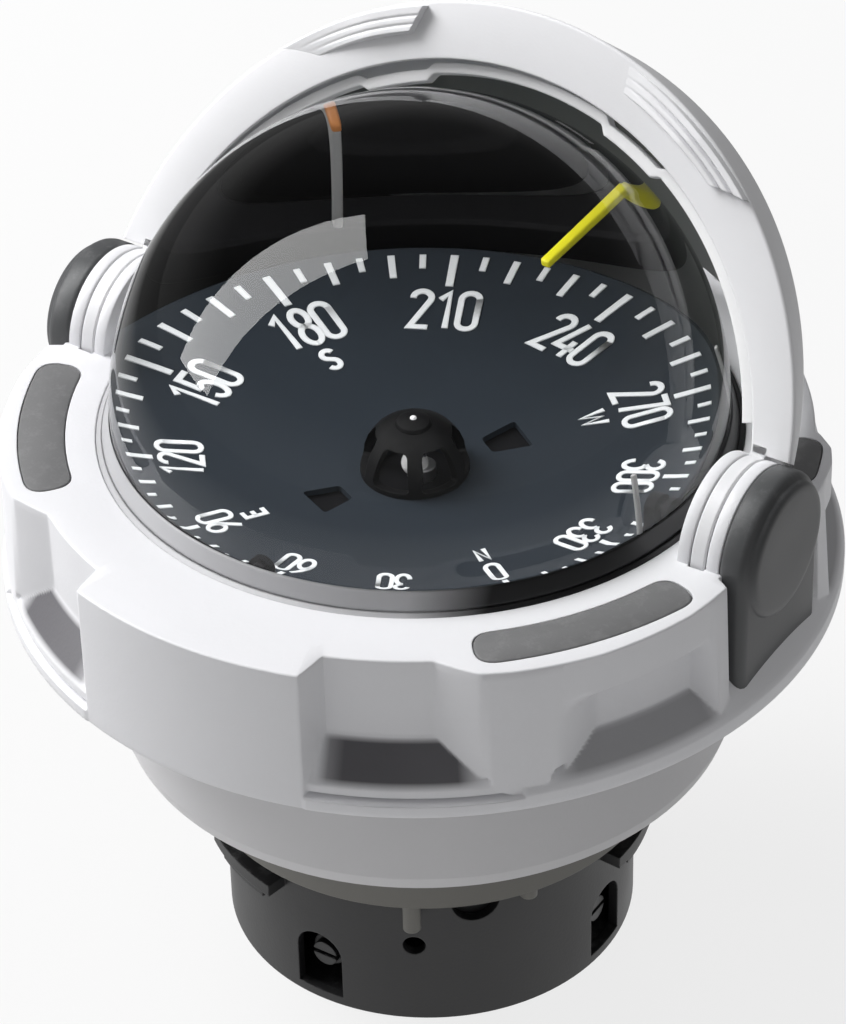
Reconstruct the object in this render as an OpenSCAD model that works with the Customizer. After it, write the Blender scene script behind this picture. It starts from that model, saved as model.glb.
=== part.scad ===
// Marine steering compass: a liquid filled dome over a turning card, a folding sun hood, a deck flange and a corrector base.
// Millimetres. +Z is up, +Y points to the bow, +X to starboard. The origin is the middle of the underside of the base.

/* [Dome] */
// Outer radius of the clear dome
dome_r = 70; // [69:0.5:70.5]
// Wall of the clear dome and of the bowl under it
dome_wall = 3.5; // [3:0.25:4]
// Height of the centre of the dome above the underside of the base
dome_h = 144; // [140:0.5:144]
// Height of the foot flange of the dome
foot_t = 3; // [2.5:0.25:3.5]
// Radius of the mouth in the bottom of the bowl, closed by the diaphragm
mouth_r = 22; // [18:1:25]

/* [Deck flange] */
// Width of the deck flange outside the dome
rim_w = 26.5; // [26:0.5:28]
// Height of the deck flange from its seat to its top face
flange_t = 36; // [35:0.5:38]
// How far the top face lies below the centre of the dome
top_drop = 5; // [4.5:0.25:5.5]
// Radial gap between the dome and the opening in the top face
bezel_gap = 2.6; // [2.2:0.1:3]
// How far the finger recesses go in from the rim
recess_deep = 8.5; // [7.5:0.5:9]
// Half angle of the fore and aft blocks between the recesses
block_half = 17.6; // [15:0.2:19]
// Angle from the fore and aft line at which each side bulge begins
bulge_from = 40; // [38:0.5:42]
// Angle from the fore and aft line at which each side bulge ends
bulge_to = 77.5; // [75:0.5:78]
// Thickness of the top band of each side bulge
band_t = 7; // [5:0.5:9]
// Radial width of the dark inserts in the top face
insert_w = 11.5; // [8:0.5:12]
// Height of the insert above the floor of its pocket
insert_t = 1.6; // [1:0.2:2.4]
// Thickness of the deck gasket
gasket_t = 1.5; // [1:0.25:2.5]
// Radial width of the deck gasket
gasket_w = 12.3; // [8:0.1:13]

/* [Skirt and collar] */
// Outer radius of the skirt below the deck flange
skirt_r = 73.5; // [72:0.5:74.5]
// Height of the underside of the skirt above the underside of the base
skirt_z = 59; // [57:0.5:61]
// Wall of the skirt
skirt_wall = 3; // [2:0.25:3.5]
// How far the collar stands out from the corrector base
collar_w = 6.5; // [5.5:0.5:8]
// Height of the collar below the skirt
collar_t = 18.5; // [17:0.5:19.5]
// Length of the spigot of the collar inside the corrector base
spigot_t = 6; // [4:0.5:8]
// Radius of the locating pegs of the collar
peg_r = 2.1; // [1.8:0.1:2.4]

/* [Corrector base] */
// Outer radius of the corrector base
base_r = 49.5; // [48:0.5:50]
// Height of the corrector base
base_t = 35; // [34:0.5:36]
// Wall of the corrector base
base_wall = 2.5; // [2:0.25:3]
// Width of the arched windows in the corrector base
window_w = 12.4; // [11:0.2:14]
// Height of the arched windows
window_t = 18; // [16:0.5:20]
// Height of the corrector shafts above the underside of the base
shaft_z = 12; // [11:0.5:13]
// Radius of the corrector shafts
shaft_r = 2; // [1.5:0.1:2.5]
// Radius of the slotted knobs on the corrector shafts
corr_knob_r = 4.3; // [3.5:0.1:4.8]

/* [Hood] */
// How far the hood axis lies below the centre of the dome
axis_drop = 6.3; // [6:0.1:7]
// How far the ledge inside the hood clears the dome
hood_gap = 7.8; // [7.6:0.1:8.5]
// Width of the hood from its ledge to its outer edge at the sides
hood_w = 12.2; // [11:0.1:14]
// How much further the crown of the hood reaches than its sides
hood_rise = 3.5; // [2:0.5:6]
// Lean of the hood face towards the bow in the pose shown
hood_lean = 32; // [30:0.5:38]
// Angle the hood wraps behind its face
hood_wrap = 44; // [36:1:46]
// Thickness of the raised grip pads on the hood face
grip_t = 1.2; // [0.8:0.1:2]
// Radius of the pivot discs
disc_r = 17.2; // [16:0.2:18]
// Radius of the hood pivot pins
pivot_r = 4; // [3:0.25:5]

/* [Side caps] */
// Thickness of the dark side brackets
bracket_t = 6.6; // [5:0.1:7]
// Radius of the raised round face on each bracket
face_r = 15.8; // [13:0.2:16]
// Height of the raised round face
face_t = 1.5; // [1:0.1:2.5]

/* [Card and gimbals] */
// How far the gimbal centre lies below the centre of the dome
gimbal_drop = 5.4; // [5:0.2:6]
// How far the underside of the card lies below the gimbal centre
card_drop = 8.6; // [8:0.2:9]
// Width of each gimbal ring
ring_w = 3; // [2.5:0.1:3.2]
// Height of each gimbal ring
ring_t = 4.6; // [4:0.2:5]
// Radius of the gimbal pins
pin_r = 1.2; // [1:0.05:1.4]
// Gap between the card and the ring that carries the lubbers
card_gap = 3.3; // [3:0.1:6]
// Thickness of the compass card
card_t = 1; // [0.8:0.1:1.4]
// Radius of the ribbed hub on the card
hub_r = 8.5; // [7.5:0.1:9.5]
// Height of the lubber post at the bow
lubber_t = 6.6; // [5:0.2:8]
// Length of the arm of the bow lubber towards the middle
lubber_arm = 17; // [12:0.5:18]

/* [Hidden] */
// Outer radius of the deck flange, of its recesses and of its opening
flange_r = dome_r + rim_w;
recess_r = flange_r - recess_deep;
bezel_r = dome_r + bezel_gap;
// Radius of the line along the middle of the inserts
insert_mid = flange_r - 10.5;
// Ledge radius, half width and reach of the hood, from its axis
hood_in = dome_r + hood_gap;
hood_half = hood_in + hood_w;
hood_out = hood_half + hood_rise;
// Outer radius of the collar under the skirt
collar_r = base_r + collar_w;
// Running clearance of a pin in its bore
run = 0.05;
// Gap between neighbouring parts that only lie side by side
gap = 0.1;
// Height of the top face of the deck flange
top_z = dome_h - top_drop;
// Height of the deck seat
seat_z = top_z - flange_t;
// Height of the hood axis
axis_z = dome_h - axis_drop;
// Height of the gimbal centre
gim_z = dome_h - gimbal_drop;
// Inner radius of the dome and of the bowl
in_r = dome_r - dome_wall;
// Radius of the cavity of the deck flange
cav_r = bezel_r + 2.4;
// Underside of the top plate of the deck flange
plate_z = top_z - 6;
// Underside of the foot of the dome
foot_z = plate_z - foot_t;
// Thickness of the seal under the foot
seal_t = 1;
// Upper face of the flange of the bowl
bowl_z = foot_z - seal_t;
// Thickness of the flange of the bowl and of the clamp ring
rim_t = 3;
// Underside of the clamp ring
clamp_z = bowl_z - 2 * rim_t;
// Start and end of the three pivot discs on each side
stack = [for (x = [6, 9, 9.2, 12.9, 13.1, 16.3]) dome_r + x];
rim_turn = 12;
// Outer and inner radius of the outer gimbal ring
ring_r = in_r - 6;
ring_in = ring_r - ring_w;
// Outer and inner radius of the lubber ring
frame_r = ring_in - 2.2;
frame_in = frame_r - ring_w;
// Outer radius of the compass card
card_r = frame_in - card_gap;
// Radius of the pivot stem of the card
stem_r = 2.2;
// Height of the underside of the card
card_z = gim_z - card_drop;
// Top of the ribs of the hub and height of the point that the card turns on
hub_top = card_z + card_t + 8.6;
tip_z = hub_top - 1.6;
// Underside of the collar
collar_z = skirt_z - collar_t;
// Distance of the locating pegs from the middle
peg_mid = collar_r - 2.8;
$fn = 96;

// Ring from radius a to radius b, from height z0 to height z1
module ring(a, b, z0, z1) {
    translate([0, 0, z0])
    difference() {
        cylinder(r = b, h = z1 - z0);
        translate([0, 0, -1])
        cylinder(r = a, h = z1 - z0 + 2);
    }
}

// Part of a ring between two angles counted from the bow axis or from any start
module sector(a, b, z0, z1, from, to) {
    rotate([0, 0, from])
    rotate_extrude(angle = to - from)
    polygon([[a, z0], [b, z0], [b, z1], [a, z1]]);
}

// Solid along X from x0 to x1 round the hood axis
module disc_x(r, x0, x1) {
    translate([x0, 0, axis_z])
    rotate([0, 90, 0])
    cylinder(r = r, h = x1 - x0);
}

// Kidney shape between two angles with round ends
module kidney(mid_r, w, z0, z1, from, to) {
    sector(mid_r - w / 2, mid_r + w / 2, z0, z1, from, to);
    for (a = [from, to])
        translate([mid_r * cos(a), mid_r * sin(a), z0])
        cylinder(r = w / 2 - 0.15, h = z1 - z0, $fn = 32);
}

// Draws its child on all four quarters
module quarters() {
    for (sx = [0, 1])
        for (sy = [0, 1])
            mirror([sx, 0, 0])
            mirror([0, sy, 0])
            children();
}

// One quarter of the outer relief: the rib, the bulge band and the corner post, left tall for the top cut
module flange_relief() {
    block_r = flange_r - 0.6;
    root_r = recess_r - 2;
    // bulge band under the insert
    sector(root_r, block_r - 0.9, top_z - band_t, top_z + 1.4, 270 + bulge_from, 270 + bulge_to);
    // corner post beside the bracket
    sector(root_r - 0.4, block_r - 1.6, seat_z + 2, top_z + 1.8, 270 + bulge_to - 3, 270 + bulge_to - 0.3);
    // rib that narrows downwards between the finger recess and the pocket
    rotate([0, 0, bulge_from])
    translate([0, -recess_r + 1.5, 0])
    rotate([90, 0, 0])
    linear_extrude(height = block_r - recess_r + 0.9) {
        polygon([
            [-1.5, top_z + 1.6], [13, top_z + 1.6], [13, top_z - band_t], [11.5, top_z - band_t - 4],
            [6.4, seat_z + 8.4], [-0.4, seat_z + 8.4]
        ]);
        translate([3, seat_z + 8])
        circle(r = 3.4, $fn = 32);
    }
}

module deck_flange() {
    color([0.93, 0.93, 0.94])
    difference() {
        union() {
            // core with the sloping recess floor, the round lip and the thin rim
            rotate_extrude()
            polygon([
                [cav_r, seat_z], [flange_r, seat_z], [flange_r, seat_z + 3.2], [flange_r - 1.1, seat_z + 4],
                [flange_r - 1.1, seat_z + 6], [flange_r - 2.2, seat_z + 7.2], [recess_r, seat_z + 15],
                [recess_r, top_z + 1], [bezel_r, top_z + 1], [bezel_r, plate_z], [cav_r, plate_z]
            ]);
            quarters()
            flange_relief();
            // blocks fore and aft
            for (a = [90, 270])
                sector(recess_r - 2.8, flange_r - 0.6, seat_z + 1, top_z + 2, a - block_half, a + block_half);
        }
        // flat top
        translate([0, 0, top_z])
        cylinder(r = flange_r + 4, h = 4);
        // slots for the hood ears
        for (s = [-1, 1])
            disc_x(disc_r + 0.4, min(s * (stack[2] - 0.2), s * (stack[3] + 0.2)),
                max(s * (stack[2] - 0.2), s * (stack[3] + 0.2)));
        // seats for the brackets
        for (s = [-1, 1])
            translate([s * (stack[5] + 5), 0, seat_z + 2.5 + flange_t / 2])
            cube([10, 2 * disc_r + 2 * gap, flange_t], center = true);
        // bores for the pivot pins
        for (s = [-1, 1])
            disc_x(pivot_r + run, min(s * stack[0], s * (stack[5] + 5.7)), max(s * stack[0], s * (stack[5] + 5.7)));
        // pockets for the four inserts
        quarters()
        kidney(insert_mid, insert_w, top_z - insert_t, top_z + 1, 270 + bulge_from + 4, 270 + bulge_to - 7);
        // groove for the deck gasket
        ring(flange_r - 4.2 - gasket_w, flange_r - 4, seat_z - 1, seat_z + gasket_t);
    }
}

module deck_gasket() {
    color([0.12, 0.12, 0.13])
    ring(flange_r - 4.1 - gasket_w, flange_r - 4.1, seat_z, seat_z + gasket_t);
}

// One dark insert, aft on the starboard side before mirroring
module insert_plate() {
    color([0.36, 0.36, 0.37])
    kidney(insert_mid, insert_w - 2 * gap, top_z - insert_t, top_z + 0.2, 270 + bulge_from + 4, 270 + bulge_to - 7);
}

module insert_aft_starboard() {
    insert_plate();
}

module insert_aft_port() {
    mirror([1, 0, 0])
    insert_plate();
}

module insert_fore_starboard() {
    mirror([0, 1, 0])
    insert_plate();
}

module insert_fore_port() {
    mirror([1, 0, 0])
    mirror([0, 1, 0])
    insert_plate();
}

// Dark side bracket with a round head and a raised round face, on the starboard side before mirroring
module bracket() {
    color([0.3, 0.3, 0.31])
    difference() {
        union() {
            disc_x(disc_r - 0.4, stack[5] + gap, stack[5] + gap + bracket_t);
            translate([stack[5] + gap, -disc_r + 0.4, seat_z + 2.6])
            cube([bracket_t, 2 * disc_r - 0.8, axis_z - seat_z - 2.6]);
            disc_x(face_r, stack[5] + bracket_t, stack[5] + gap + bracket_t + face_t);
        }
        disc_x(pivot_r + run, stack[5] - 1, stack[5] + gap + bracket_t - 1.5);
    }
}

module bracket_starboard() {
    bracket();
}

module bracket_port() {
    mirror([1, 0, 0])
    bracket();
}

// Steel pin the hood turns on
module pivot_pin() {
    color([0.7, 0.7, 0.72])
    disc_x(pivot_r, stack[0] + 0.5, stack[5] + gap + bracket_t - 1.6);
}

module pivot_pin_starboard() {
    pivot_pin();
}

module pivot_pin_port() {
    mirror([1, 0, 0])
    pivot_pin();
}

// Fixed half disc standing on the top face
module half_disc(x0, x1) {
    color([0.9, 0.9, 0.91])
    difference() {
        disc_x(disc_r, x0, x1);
        disc_x(pivot_r + run, x0 - 1, x1 + 1);
        translate([x0 - 1, -disc_r - 1, top_z - 60])
        cube([x1 - x0 + 2, 2 * disc_r + 2, 60]);
    }
}

module disc_inner_starboard() {
    half_disc(stack[0], stack[1]);
}

module disc_inner_port() {
    mirror([1, 0, 0])
    half_disc(stack[0], stack[1]);
}

module disc_outer_starboard() {
    half_disc(stack[4], stack[5]);
}

module disc_outer_port() {
    mirror([1, 0, 0])
    half_disc(stack[4], stack[5]);
}

// Places its child with the hood face in the XZ plane and the bow side behind it
module hood_place() {
    translate([0, 0, axis_z])
    rotate([-hood_lean, 0, 0])
    children();
}

// Lune turned about the X axis behind the face plane, from a profile of points [distance from the axis, x]
module lune(pts, from, to) {
    rotate([0, 90, 0])
    rotate([0, 0, 180 - to])
    rotate_extrude(angle = to - from)
    polygon(pts);
}

// Outer outline of the hood: round crown with straight flanks
function hood_edge(half, reach, n) = [
    for (i = [0 : n])
        let (a = -78 + 156 * i / n)
        [reach - half + half * cos(a), half * sin(a)]
];

// Inner outline of the hood round the hood axis
function hood_core(r, n, lim) = [
    for (i = [0 : n])
        let (a = lim - 2 * lim * i / n)
        [r * cos(a), r * sin(a)]
];

module hood_shell() {
    color([0.95, 0.95, 0.96])
    hood_place()
    difference() {
        union() {
            lune(concat(
                hood_edge(hood_half, hood_out, 30),
                [[disc_r - 2, stack[3]], [disc_r - 2, stack[2]]],
                hood_core(hood_in + 3, 26, 74),
                [[disc_r - 2, -stack[2]], [disc_r - 2, -stack[3]]]
            ), 0, rim_turn);
            // thinner shell behind the broad front rim
            lune(concat(
                hood_core(hood_in + 3, 26, 74),
                [for (p = hood_core(hood_in + 5.8, 26, 74)) [p[0], -p[1]]]
            ), rim_turn - 1, hood_wrap);
            for (s = [-1, 1])
                translate([s * (stack[2] + stack[3]) / 2, 0, 0])
                rotate([0, 90, 0])
                cylinder(r = disc_r, h = stack[3] - stack[2], center = true);
        }
        for (s = [-1, 1]) {
            // room for the fixed discs on both sides of each ear
            translate([s * (stack[2] - 8), 0, 0])
            rotate([0, 90, 0])
            cylinder(r = disc_r + 0.6, h = 16, center = true);
            translate([s * (stack[3] + 8), 0, 0])
            rotate([0, 90, 0])
            cylinder(r = disc_r + 0.6, h = 16, center = true);
            // bore for the pivot pin
            translate([s * (stack[2] + stack[3]) / 2, 0, 0])
            rotate([0, 90, 0])
            cylinder(r = pivot_r + run, h = 12, center = true);
        }
    }
}

// Ledge strip inside the hood, set back from the face, with two latch slots
module hood_ledge() {
    color([0.93, 0.93, 0.94])
    hood_place()
    difference() {
        lune(concat(
            hood_core(hood_in + 3 - gap, 26, 72),
            [for (p = hood_core(hood_in, 26, 72)) [p[0], -p[1]]]
        ), 2, hood_wrap - 2);
        for (s = [-1, 1])
            rotate([0, 23.5 * s, 0])
            translate([0, 4, hood_in + 3])
            cube([15, 10, 3], center = true);
    }
}

// Raised grip pad with two grooves on the hood face, on the starboard side before mirroring
module grip_pad() {
    mid = hood_out - hood_half;
    color([0.95, 0.95, 0.96])
    hood_place()
    translate([0, -gap / 2, mid])
    rotate([90, 0, 0])
    difference() {
        linear_extrude(height = grip_t)
        polygon(concat(
            [for (i = [0 : 8]) let (a = 62 - 4 * i) [(hood_half - 1) * cos(a), (hood_half - 1) * sin(a)]],
            [for (i = [0 : 8]) let (a = 30 + 4 * i) [(hood_half - 8) * cos(a), (hood_half - 8) * sin(a)]]
        ));
        for (k = [3, 5.6])
            translate([0, 0, grip_t - 0.5])
            difference() {
                cylinder(r = hood_half - k, h = 2);
                translate([0, 0, -1])
                cylinder(r = hood_half - k - 0.9, h = 4);
            }
    }
}

module grip_starboard() {
    grip_pad();
}

module grip_port() {
    mirror([1, 0, 0])
    grip_pad();
}

module dome() {
    color([0.85, 0.9, 0.92, 0.35]) {
        translate([0, 0, dome_h])
        difference() {
            sphere(r = dome_r);
            sphere(r = in_r);
            translate([0, 0, -dome_r - 4])
            cube([3 * dome_r, 3 * dome_r, 2 * dome_r], center = true);
        }
        ring(in_r - 0.2, dome_r - 0.5, foot_z, dome_h - 3);
        ring(in_r - 0.2, cav_r - 0.4, foot_z, foot_z + foot_t);
    }
}

module dome_seal() {
    color([0.1, 0.1, 0.1])
    ring(in_r + 1, cav_r - 2, foot_z - seal_t, foot_z);
}

// Lower half of the liquid vessel with a flange, a mouth and two bearing posts for the roll pins
module bowl() {
    color([0.45, 0.46, 0.47])
    difference() {
        union() {
            difference() {
                translate([0, 0, dome_h])
                sphere(r = dome_r - 0.5);
                translate([0, 0, bowl_z + dome_r])
                cube([3 * dome_r, 3 * dome_r, 2 * dome_r], center = true);
                translate([0, 0, dome_h])
                sphere(r = in_r);
            }
            ring(in_r - 2, cav_r - 0.4, bowl_z - rim_t, bowl_z);
            // bearing posts
            for (s = [-1, 1])
                translate([0, s * (in_r - 2.6), (bowl_z + gim_z) / 2])
                cube([7, 3, gim_z - bowl_z + 14], center = true);
        }
        // bores for the roll pins
        translate([0, 0, gim_z])
        rotate([90, 0, 0])
        cylinder(r = pin_r + run, h = 2 * in_r - 1, center = true, $fn = 32);
        // mouth for the diaphragm and hole for the filler plug
        translate([0, 0, dome_h - dome_r - 1])
        cylinder(r = mouth_r, h = 20);
        translate([30, 0, dome_h - dome_r])
        cylinder(r = 4, h = 30, $fn = 48);
    }
}

module clamp_ring() {
    color([0.25, 0.25, 0.26])
    ring(in_r + 1.2, cav_r - 0.3, clamp_z, clamp_z + rim_t - 0.01);
}

// Rubber bellows that lets the liquid expand
module diaphragm() {
    color([0.14, 0.14, 0.15])
    translate([0, 0, dome_h - sqrt(pow(dome_r - 0.5, 2) - pow(mouth_r, 2)) - 1.5])
    difference() {
        cylinder(r = mouth_r + 4, h = 1.4);
        for (r = [8, 14])
            translate([0, 0, 0.8])
            difference() {
                cylinder(r = r + 1.5, h = 2);
                translate([0, 0, -1])
                cylinder(r = r, h = 4);
            }
    }
}

// Plate that holds the bellows under the mouth
module mouth_cover() {
    color([0.4, 0.4, 0.41])
    translate([0, 0, dome_h - sqrt(pow(dome_r - 0.5, 2) - pow(mouth_r, 2)) - 4.1])
    difference() {
        cylinder(r = mouth_r + 5, h = 2.5);
        translate([0, 0, -1])
        cylinder(r = 3, h = 5);
    }
}

module filler_plug() {
    h = dome_h - sqrt(pow(in_r, 2) - 900);
    color([0.78, 0.62, 0.3])
    translate([30, 0, h - 6])
    difference() {
        cylinder(r = 4 - gap, h = 6, $fn = 48);
        translate([0, 0, 0])
        cube([6, 1, 2], center = true);
    }
}

// Outer gimbal ring: turns about the fore and aft axis
module gimbal_ring() {
    color([0.32, 0.33, 0.34])
    difference() {
        ring(ring_in, ring_r, gim_z - ring_t / 2, gim_z + ring_t / 2);
        translate([0, 0, gim_z])
        rotate([0, 90, 0])
        cylinder(r = pin_r + run, h = 3 * ring_r, center = true, $fn = 32);
        translate([0, 0, gim_z])
        rotate([90, 0, 0])
        cylinder(r = pin_r, h = 3 * ring_r, center = true, $fn = 32);
    }
}

module roll_pins() {
    color([0.75, 0.75, 0.77])
    for (s = [-1, 1])
        translate([0, s * (ring_in + in_r - 1.6) / 2, gim_z])
        rotate([90, 0, 0])
        cylinder(r = pin_r, h = in_r - 1.6 - ring_in, center = true, $fn = 32);
}

// Inner frame that carries the lubber posts and the pivot of the card
module lubber_frame() {
    low = gim_z - 18;
    color([0.36, 0.37, 0.38])
    difference() {
        union() {
            ring(frame_in, frame_r, gim_z - ring_t / 2, gim_z + ring_t / 2);
            for (a = [45 : 90 : 315])
                rotate([0, 0, a]) {
                    translate([frame_in, -2.5, low])
                    cube([ring_w - 1.3, 5, 17]);
                    translate([2, -2.5, low])
                    cube([frame_in, 5, 2.5]);
                }
            translate([0, 0, low - 2])
            cylinder(r = 7, h = 6);
        }
        translate([0, 0, low - 3])
        cylinder(r = stem_r, h = 20, $fn = 32);
        translate([0, 0, gim_z])
        rotate([0, 90, 0])
        cylinder(r = pin_r, h = 3 * ring_r, center = true, $fn = 32);
    }
}

module pitch_pins() {
    color([0.75, 0.75, 0.77])
    for (s = [-1, 1])
        translate([s * (frame_in + ring_r) / 2, 0, gim_z])
        rotate([0, 90, 0])
        cylinder(r = pin_r, h = ring_r - frame_in - 0.6, center = true, $fn = 32);
}

// Yellow post at the bow that the heading is read against
module lubber_bow() {
    color([0.93, 0.9, 0.1])
    {
        translate([-0.9, frame_in + 0.3, gim_z + ring_t / 2])
        cube([1.8, 1.3, lubber_t]);
        translate([-0.6, frame_in + 1.6 - lubber_arm, gim_z + ring_t / 2 + lubber_t - 1.3])
        cube([1.2, lubber_arm, 1.3]);
    }
}

// Four paler posts, two on the bow quarters and two abeam
module lubbers_side() {
    color([0.75, 0.75, 0.74])
    for (a = [0, 45, 135, 180])
        rotate([0, 0, a])
        translate([frame_in + 0.4, -0.6, gim_z + ring_t / 2])
        cube([1.2, 1.2, lubber_t - 0.4]);
    // only the port bow one has an arm
    rotate([0, 0, 135])
    translate([frame_in + 1.6 - lubber_arm + 2, -0.5, gim_z + ring_t / 2 + lubber_t - 1.6])
    cube([lubber_arm - 2, 1, 1.2]);
}

// Stem with a fine point that carries the jewel of the card
module pivot_stem() {
    color([0.72, 0.72, 0.74])
    translate([0, 0, gim_z - 20]) {
        cylinder(r = stem_r, h = card_z - gim_z + 22, $fn = 32);
        cylinder(r = 0.8, h = tip_z - gim_z + 18.4, $fn = 32);
        translate([0, 0, tip_z - gim_z + 18.4])
        cylinder(r1 = 0.8, r2 = 0.1, h = 1.6, $fn = 32);
    }
}

module counterweight() {
    color([0.5, 0.48, 0.42])
    ring(stem_r, 20, gim_z - 27, gim_z - 20.05);
    color([0.5, 0.48, 0.42])
    translate([0, 0, gim_z - 27])
    cylinder(r = stem_r + 1, h = 6.9);
}

// Card plate with two trapezoid windows
module card_plate() {
    color([0.08, 0.1, 0.13])
    difference() {
        ring(hub_r - 2, card_r, card_z, card_z + card_t);
        for (a = [60, 240])
            rotate([0, 0, a])
            translate([0, 0, card_z - 1])
            linear_extrude(height = card_t + 2)
            polygon([[12, -2], [18, -3.4], [18, 3.4], [12, 2]]);
    }
}

// Raised marks of the card every five degrees
module card_ticks() {
    color([0.9, 0.92, 0.93])
    for (i = [0 : 71])
        rotate([0, 0, 5 * i])
        translate([card_r - 1 - (i % 6 == 0 ? 7 : i % 2 == 0 ? 5 : 3.4), -0.45, card_z + card_t])
        cube([i % 6 == 0 ? 7 : i % 2 == 0 ? 5 : 3.4, 0.9, 0.15]);
}

// Ribbed black hub that carries the jewel over the middle of the card
module hub_cage() {
    color([0.05, 0.05, 0.05])
    difference() {
        union() {
            ring(hub_r - 2.4, hub_r, card_z + card_t, card_z + card_t + 1.6);
            for (i = [0 : 5])
                rotate([0, 0, 60 * i])
                translate([2, -0.8, card_z + card_t])
                rotate([90, 0, 0])
                translate([0, 0, -1.6])
                linear_extrude(height = 1.6)
                polygon([
                    [hub_r - 3.4, 0], [hub_r - 2.1, 0], [hub_r - 2.6, 4], [hub_r - 5, 7.4],
                    [0, 8.6], [0, 7.2], [hub_r - 5.6, 6.2], [hub_r - 3.8, 3.6]
                ]);
            translate([0, 0, card_z + card_t + 6.6])
            cylinder(r = 3.4, h = 2);
        }
        translate([0, 0, card_z])
        cylinder(r = 1.6, h = 20, $fn = 32);
    }
}

module hub_cap() {
    color([0.1, 0.1, 0.1])
    translate([0, 0, hub_top])
    cylinder(r1 = 3.2, r2 = 1.8, h = 1.2, $fn = 48);
}

// Jewel on the point of the stem
module jewel_cup() {
    color([0.8, 0.2, 0.25])
    difference() {
        translate([0, 0, tip_z - 1.2])
        cylinder(r = 1.6 - gap / 10, h = hub_top - 0.01 - tip_z + 1.2, $fn = 32);
        translate([0, 0, tip_z - 2.6])
        cylinder(r = 0.9, h = 1.2, $fn = 32);
        translate([0, 0, tip_z - 1.45])
        cylinder(r1 = 0.9, r2 = 0.1, h = 1.6, $fn = 32);
    }
}

// Two bar magnets under the card
module magnets() {
    color([0.42, 0.42, 0.44])
    for (s = [-1, 1])
        translate([s * 10, 0, card_z - 2.01])
        cube([3.5, 36, 4], center = true);
}

// Skirt that goes down through the deck
module skirt() {
    color([0.88, 0.88, 0.89])
    rotate_extrude()
    polygon([
        [cav_r - 0.1, clamp_z - 0.1], [cav_r - 0.1, seat_z + 0.05], [skirt_r, seat_z - 0.4], [skirt_r, skirt_z + 6],
        [skirt_r - 1.2, skirt_z + 2.4], [skirt_r - 4, skirt_z], [skirt_r - 9, skirt_z],
        [skirt_r - 9, skirt_z + 3], [skirt_r - skirt_wall - 1, skirt_z + 4],
        [skirt_r - skirt_wall, skirt_z + 8], [skirt_r - skirt_wall, clamp_z - 0.1]
    ]);
}

module skirt_floor() {
    color([0.75, 0.74, 0.72])
    ring(30, skirt_r - 9 - gap, skirt_z, skirt_z + 3);
}

// Collar that the corrector base hangs from, with a raised pad
module collar() {
    color([0.72, 0.71, 0.68])
    difference() {
        union() {
            ring(base_r + 1, collar_r, collar_z, skirt_z);
            sector(base_r + 1, collar_r + 2.4, skirt_z - 5, skirt_z, 285, 345);
            ring(30, base_r + 2, skirt_z - 3, skirt_z);
        }
        for (a = [298, 328])
            translate([peg_mid * cos(a), peg_mid * sin(a), collar_z - 1])
            cylinder(r = peg_r, h = 7, $fn = 32);
    }
}

// Dark spigot of the collar that the corrector base is pushed on to
module spigot() {
    color([0.13, 0.13, 0.13]) {
        ring(base_r - base_wall - 5, base_r - 1, base_t + gap, skirt_z - 3);
        ring(base_r - base_wall - 5, base_r - base_wall - 3 * gap, base_t - spigot_t, base_t + 1);
    }
}

// Pegs that set the base square to the collar
module locating_pegs() {
    color([0.6, 0.6, 0.59])
    for (a = [298, 328])
        translate([peg_mid * cos(a), peg_mid * sin(a), collar_z - (a == 298 ? 8.5 : 3)])
        cylinder(r = peg_r, h = a == 298 ? 14.5 : 9, $fn = 32);
}

// Arched window outline in the base wall
module arch(w, h) {
    polygon(concat(
        [[-w / 2, 0], [w / 2, 0]],
        [for (a = [0 : 15 : 180]) [w / 2 * cos(a), h - w / 2 + w / 2 * sin(a)]]
    ));
}

module corrector_base() {
    color([0.1, 0.1, 0.11])
    difference() {
        union() {
            cylinder(r = base_r, h = base_t);
            // bayonet lugs that hook under the collar
            for (a = [233, 357, 113])
                sector(base_r - 1, base_r + 5.4, base_t - 4.6, base_t - 1.4, a, a + 26);
            for (a = [238, 2, 118])
                sector(base_r - 1.2, base_r + 4.8, base_t - 6.6, base_t - 4, a, a + 18);
        }
        translate([0, 0, 2])
        cylinder(r = base_r - base_wall, h = base_t);
        // arched windows aft and to starboard
        for (a = [0, 90])
            rotate([0, 0, a])
            translate([0, -base_r + base_wall + 2, 2.4])
            rotate([90, 0, 0])
            linear_extrude(height = base_wall + 6)
            arch(window_w, window_t);
        // notch in the upper edge and a sight hole
        rotate([0, 0, 45])
        translate([0, -base_r + base_wall + 2, base_t + 0.7])
        rotate([90, 0, 0])
        cylinder(r = 5.8, h = base_wall + 6, $fn = 48);
        rotate([0, 0, 28])
        translate([0, -base_r + base_wall + 2, base_t - 12])
        rotate([90, 0, 0])
        cylinder(r = 2.7, h = base_wall + 6, $fn = 32);
    }
}

// Block in the base that carries both corrector shafts
module corrector_block() {
    color([0.16, 0.16, 0.17])
    difference() {
        translate([0, 0, 2.01])
        cylinder(r = 22, h = shaft_z + 6);
        translate([0, 0, shaft_z])
        rotate([90, 0, 0])
        cylinder(r = shaft_r + run, h = 30, $fn = 32);
        translate([0, 0, shaft_z])
        rotate([0, 90, 0])
        cylinder(r = shaft_r + run, h = 30, $fn = 32);
    }
}

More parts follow.
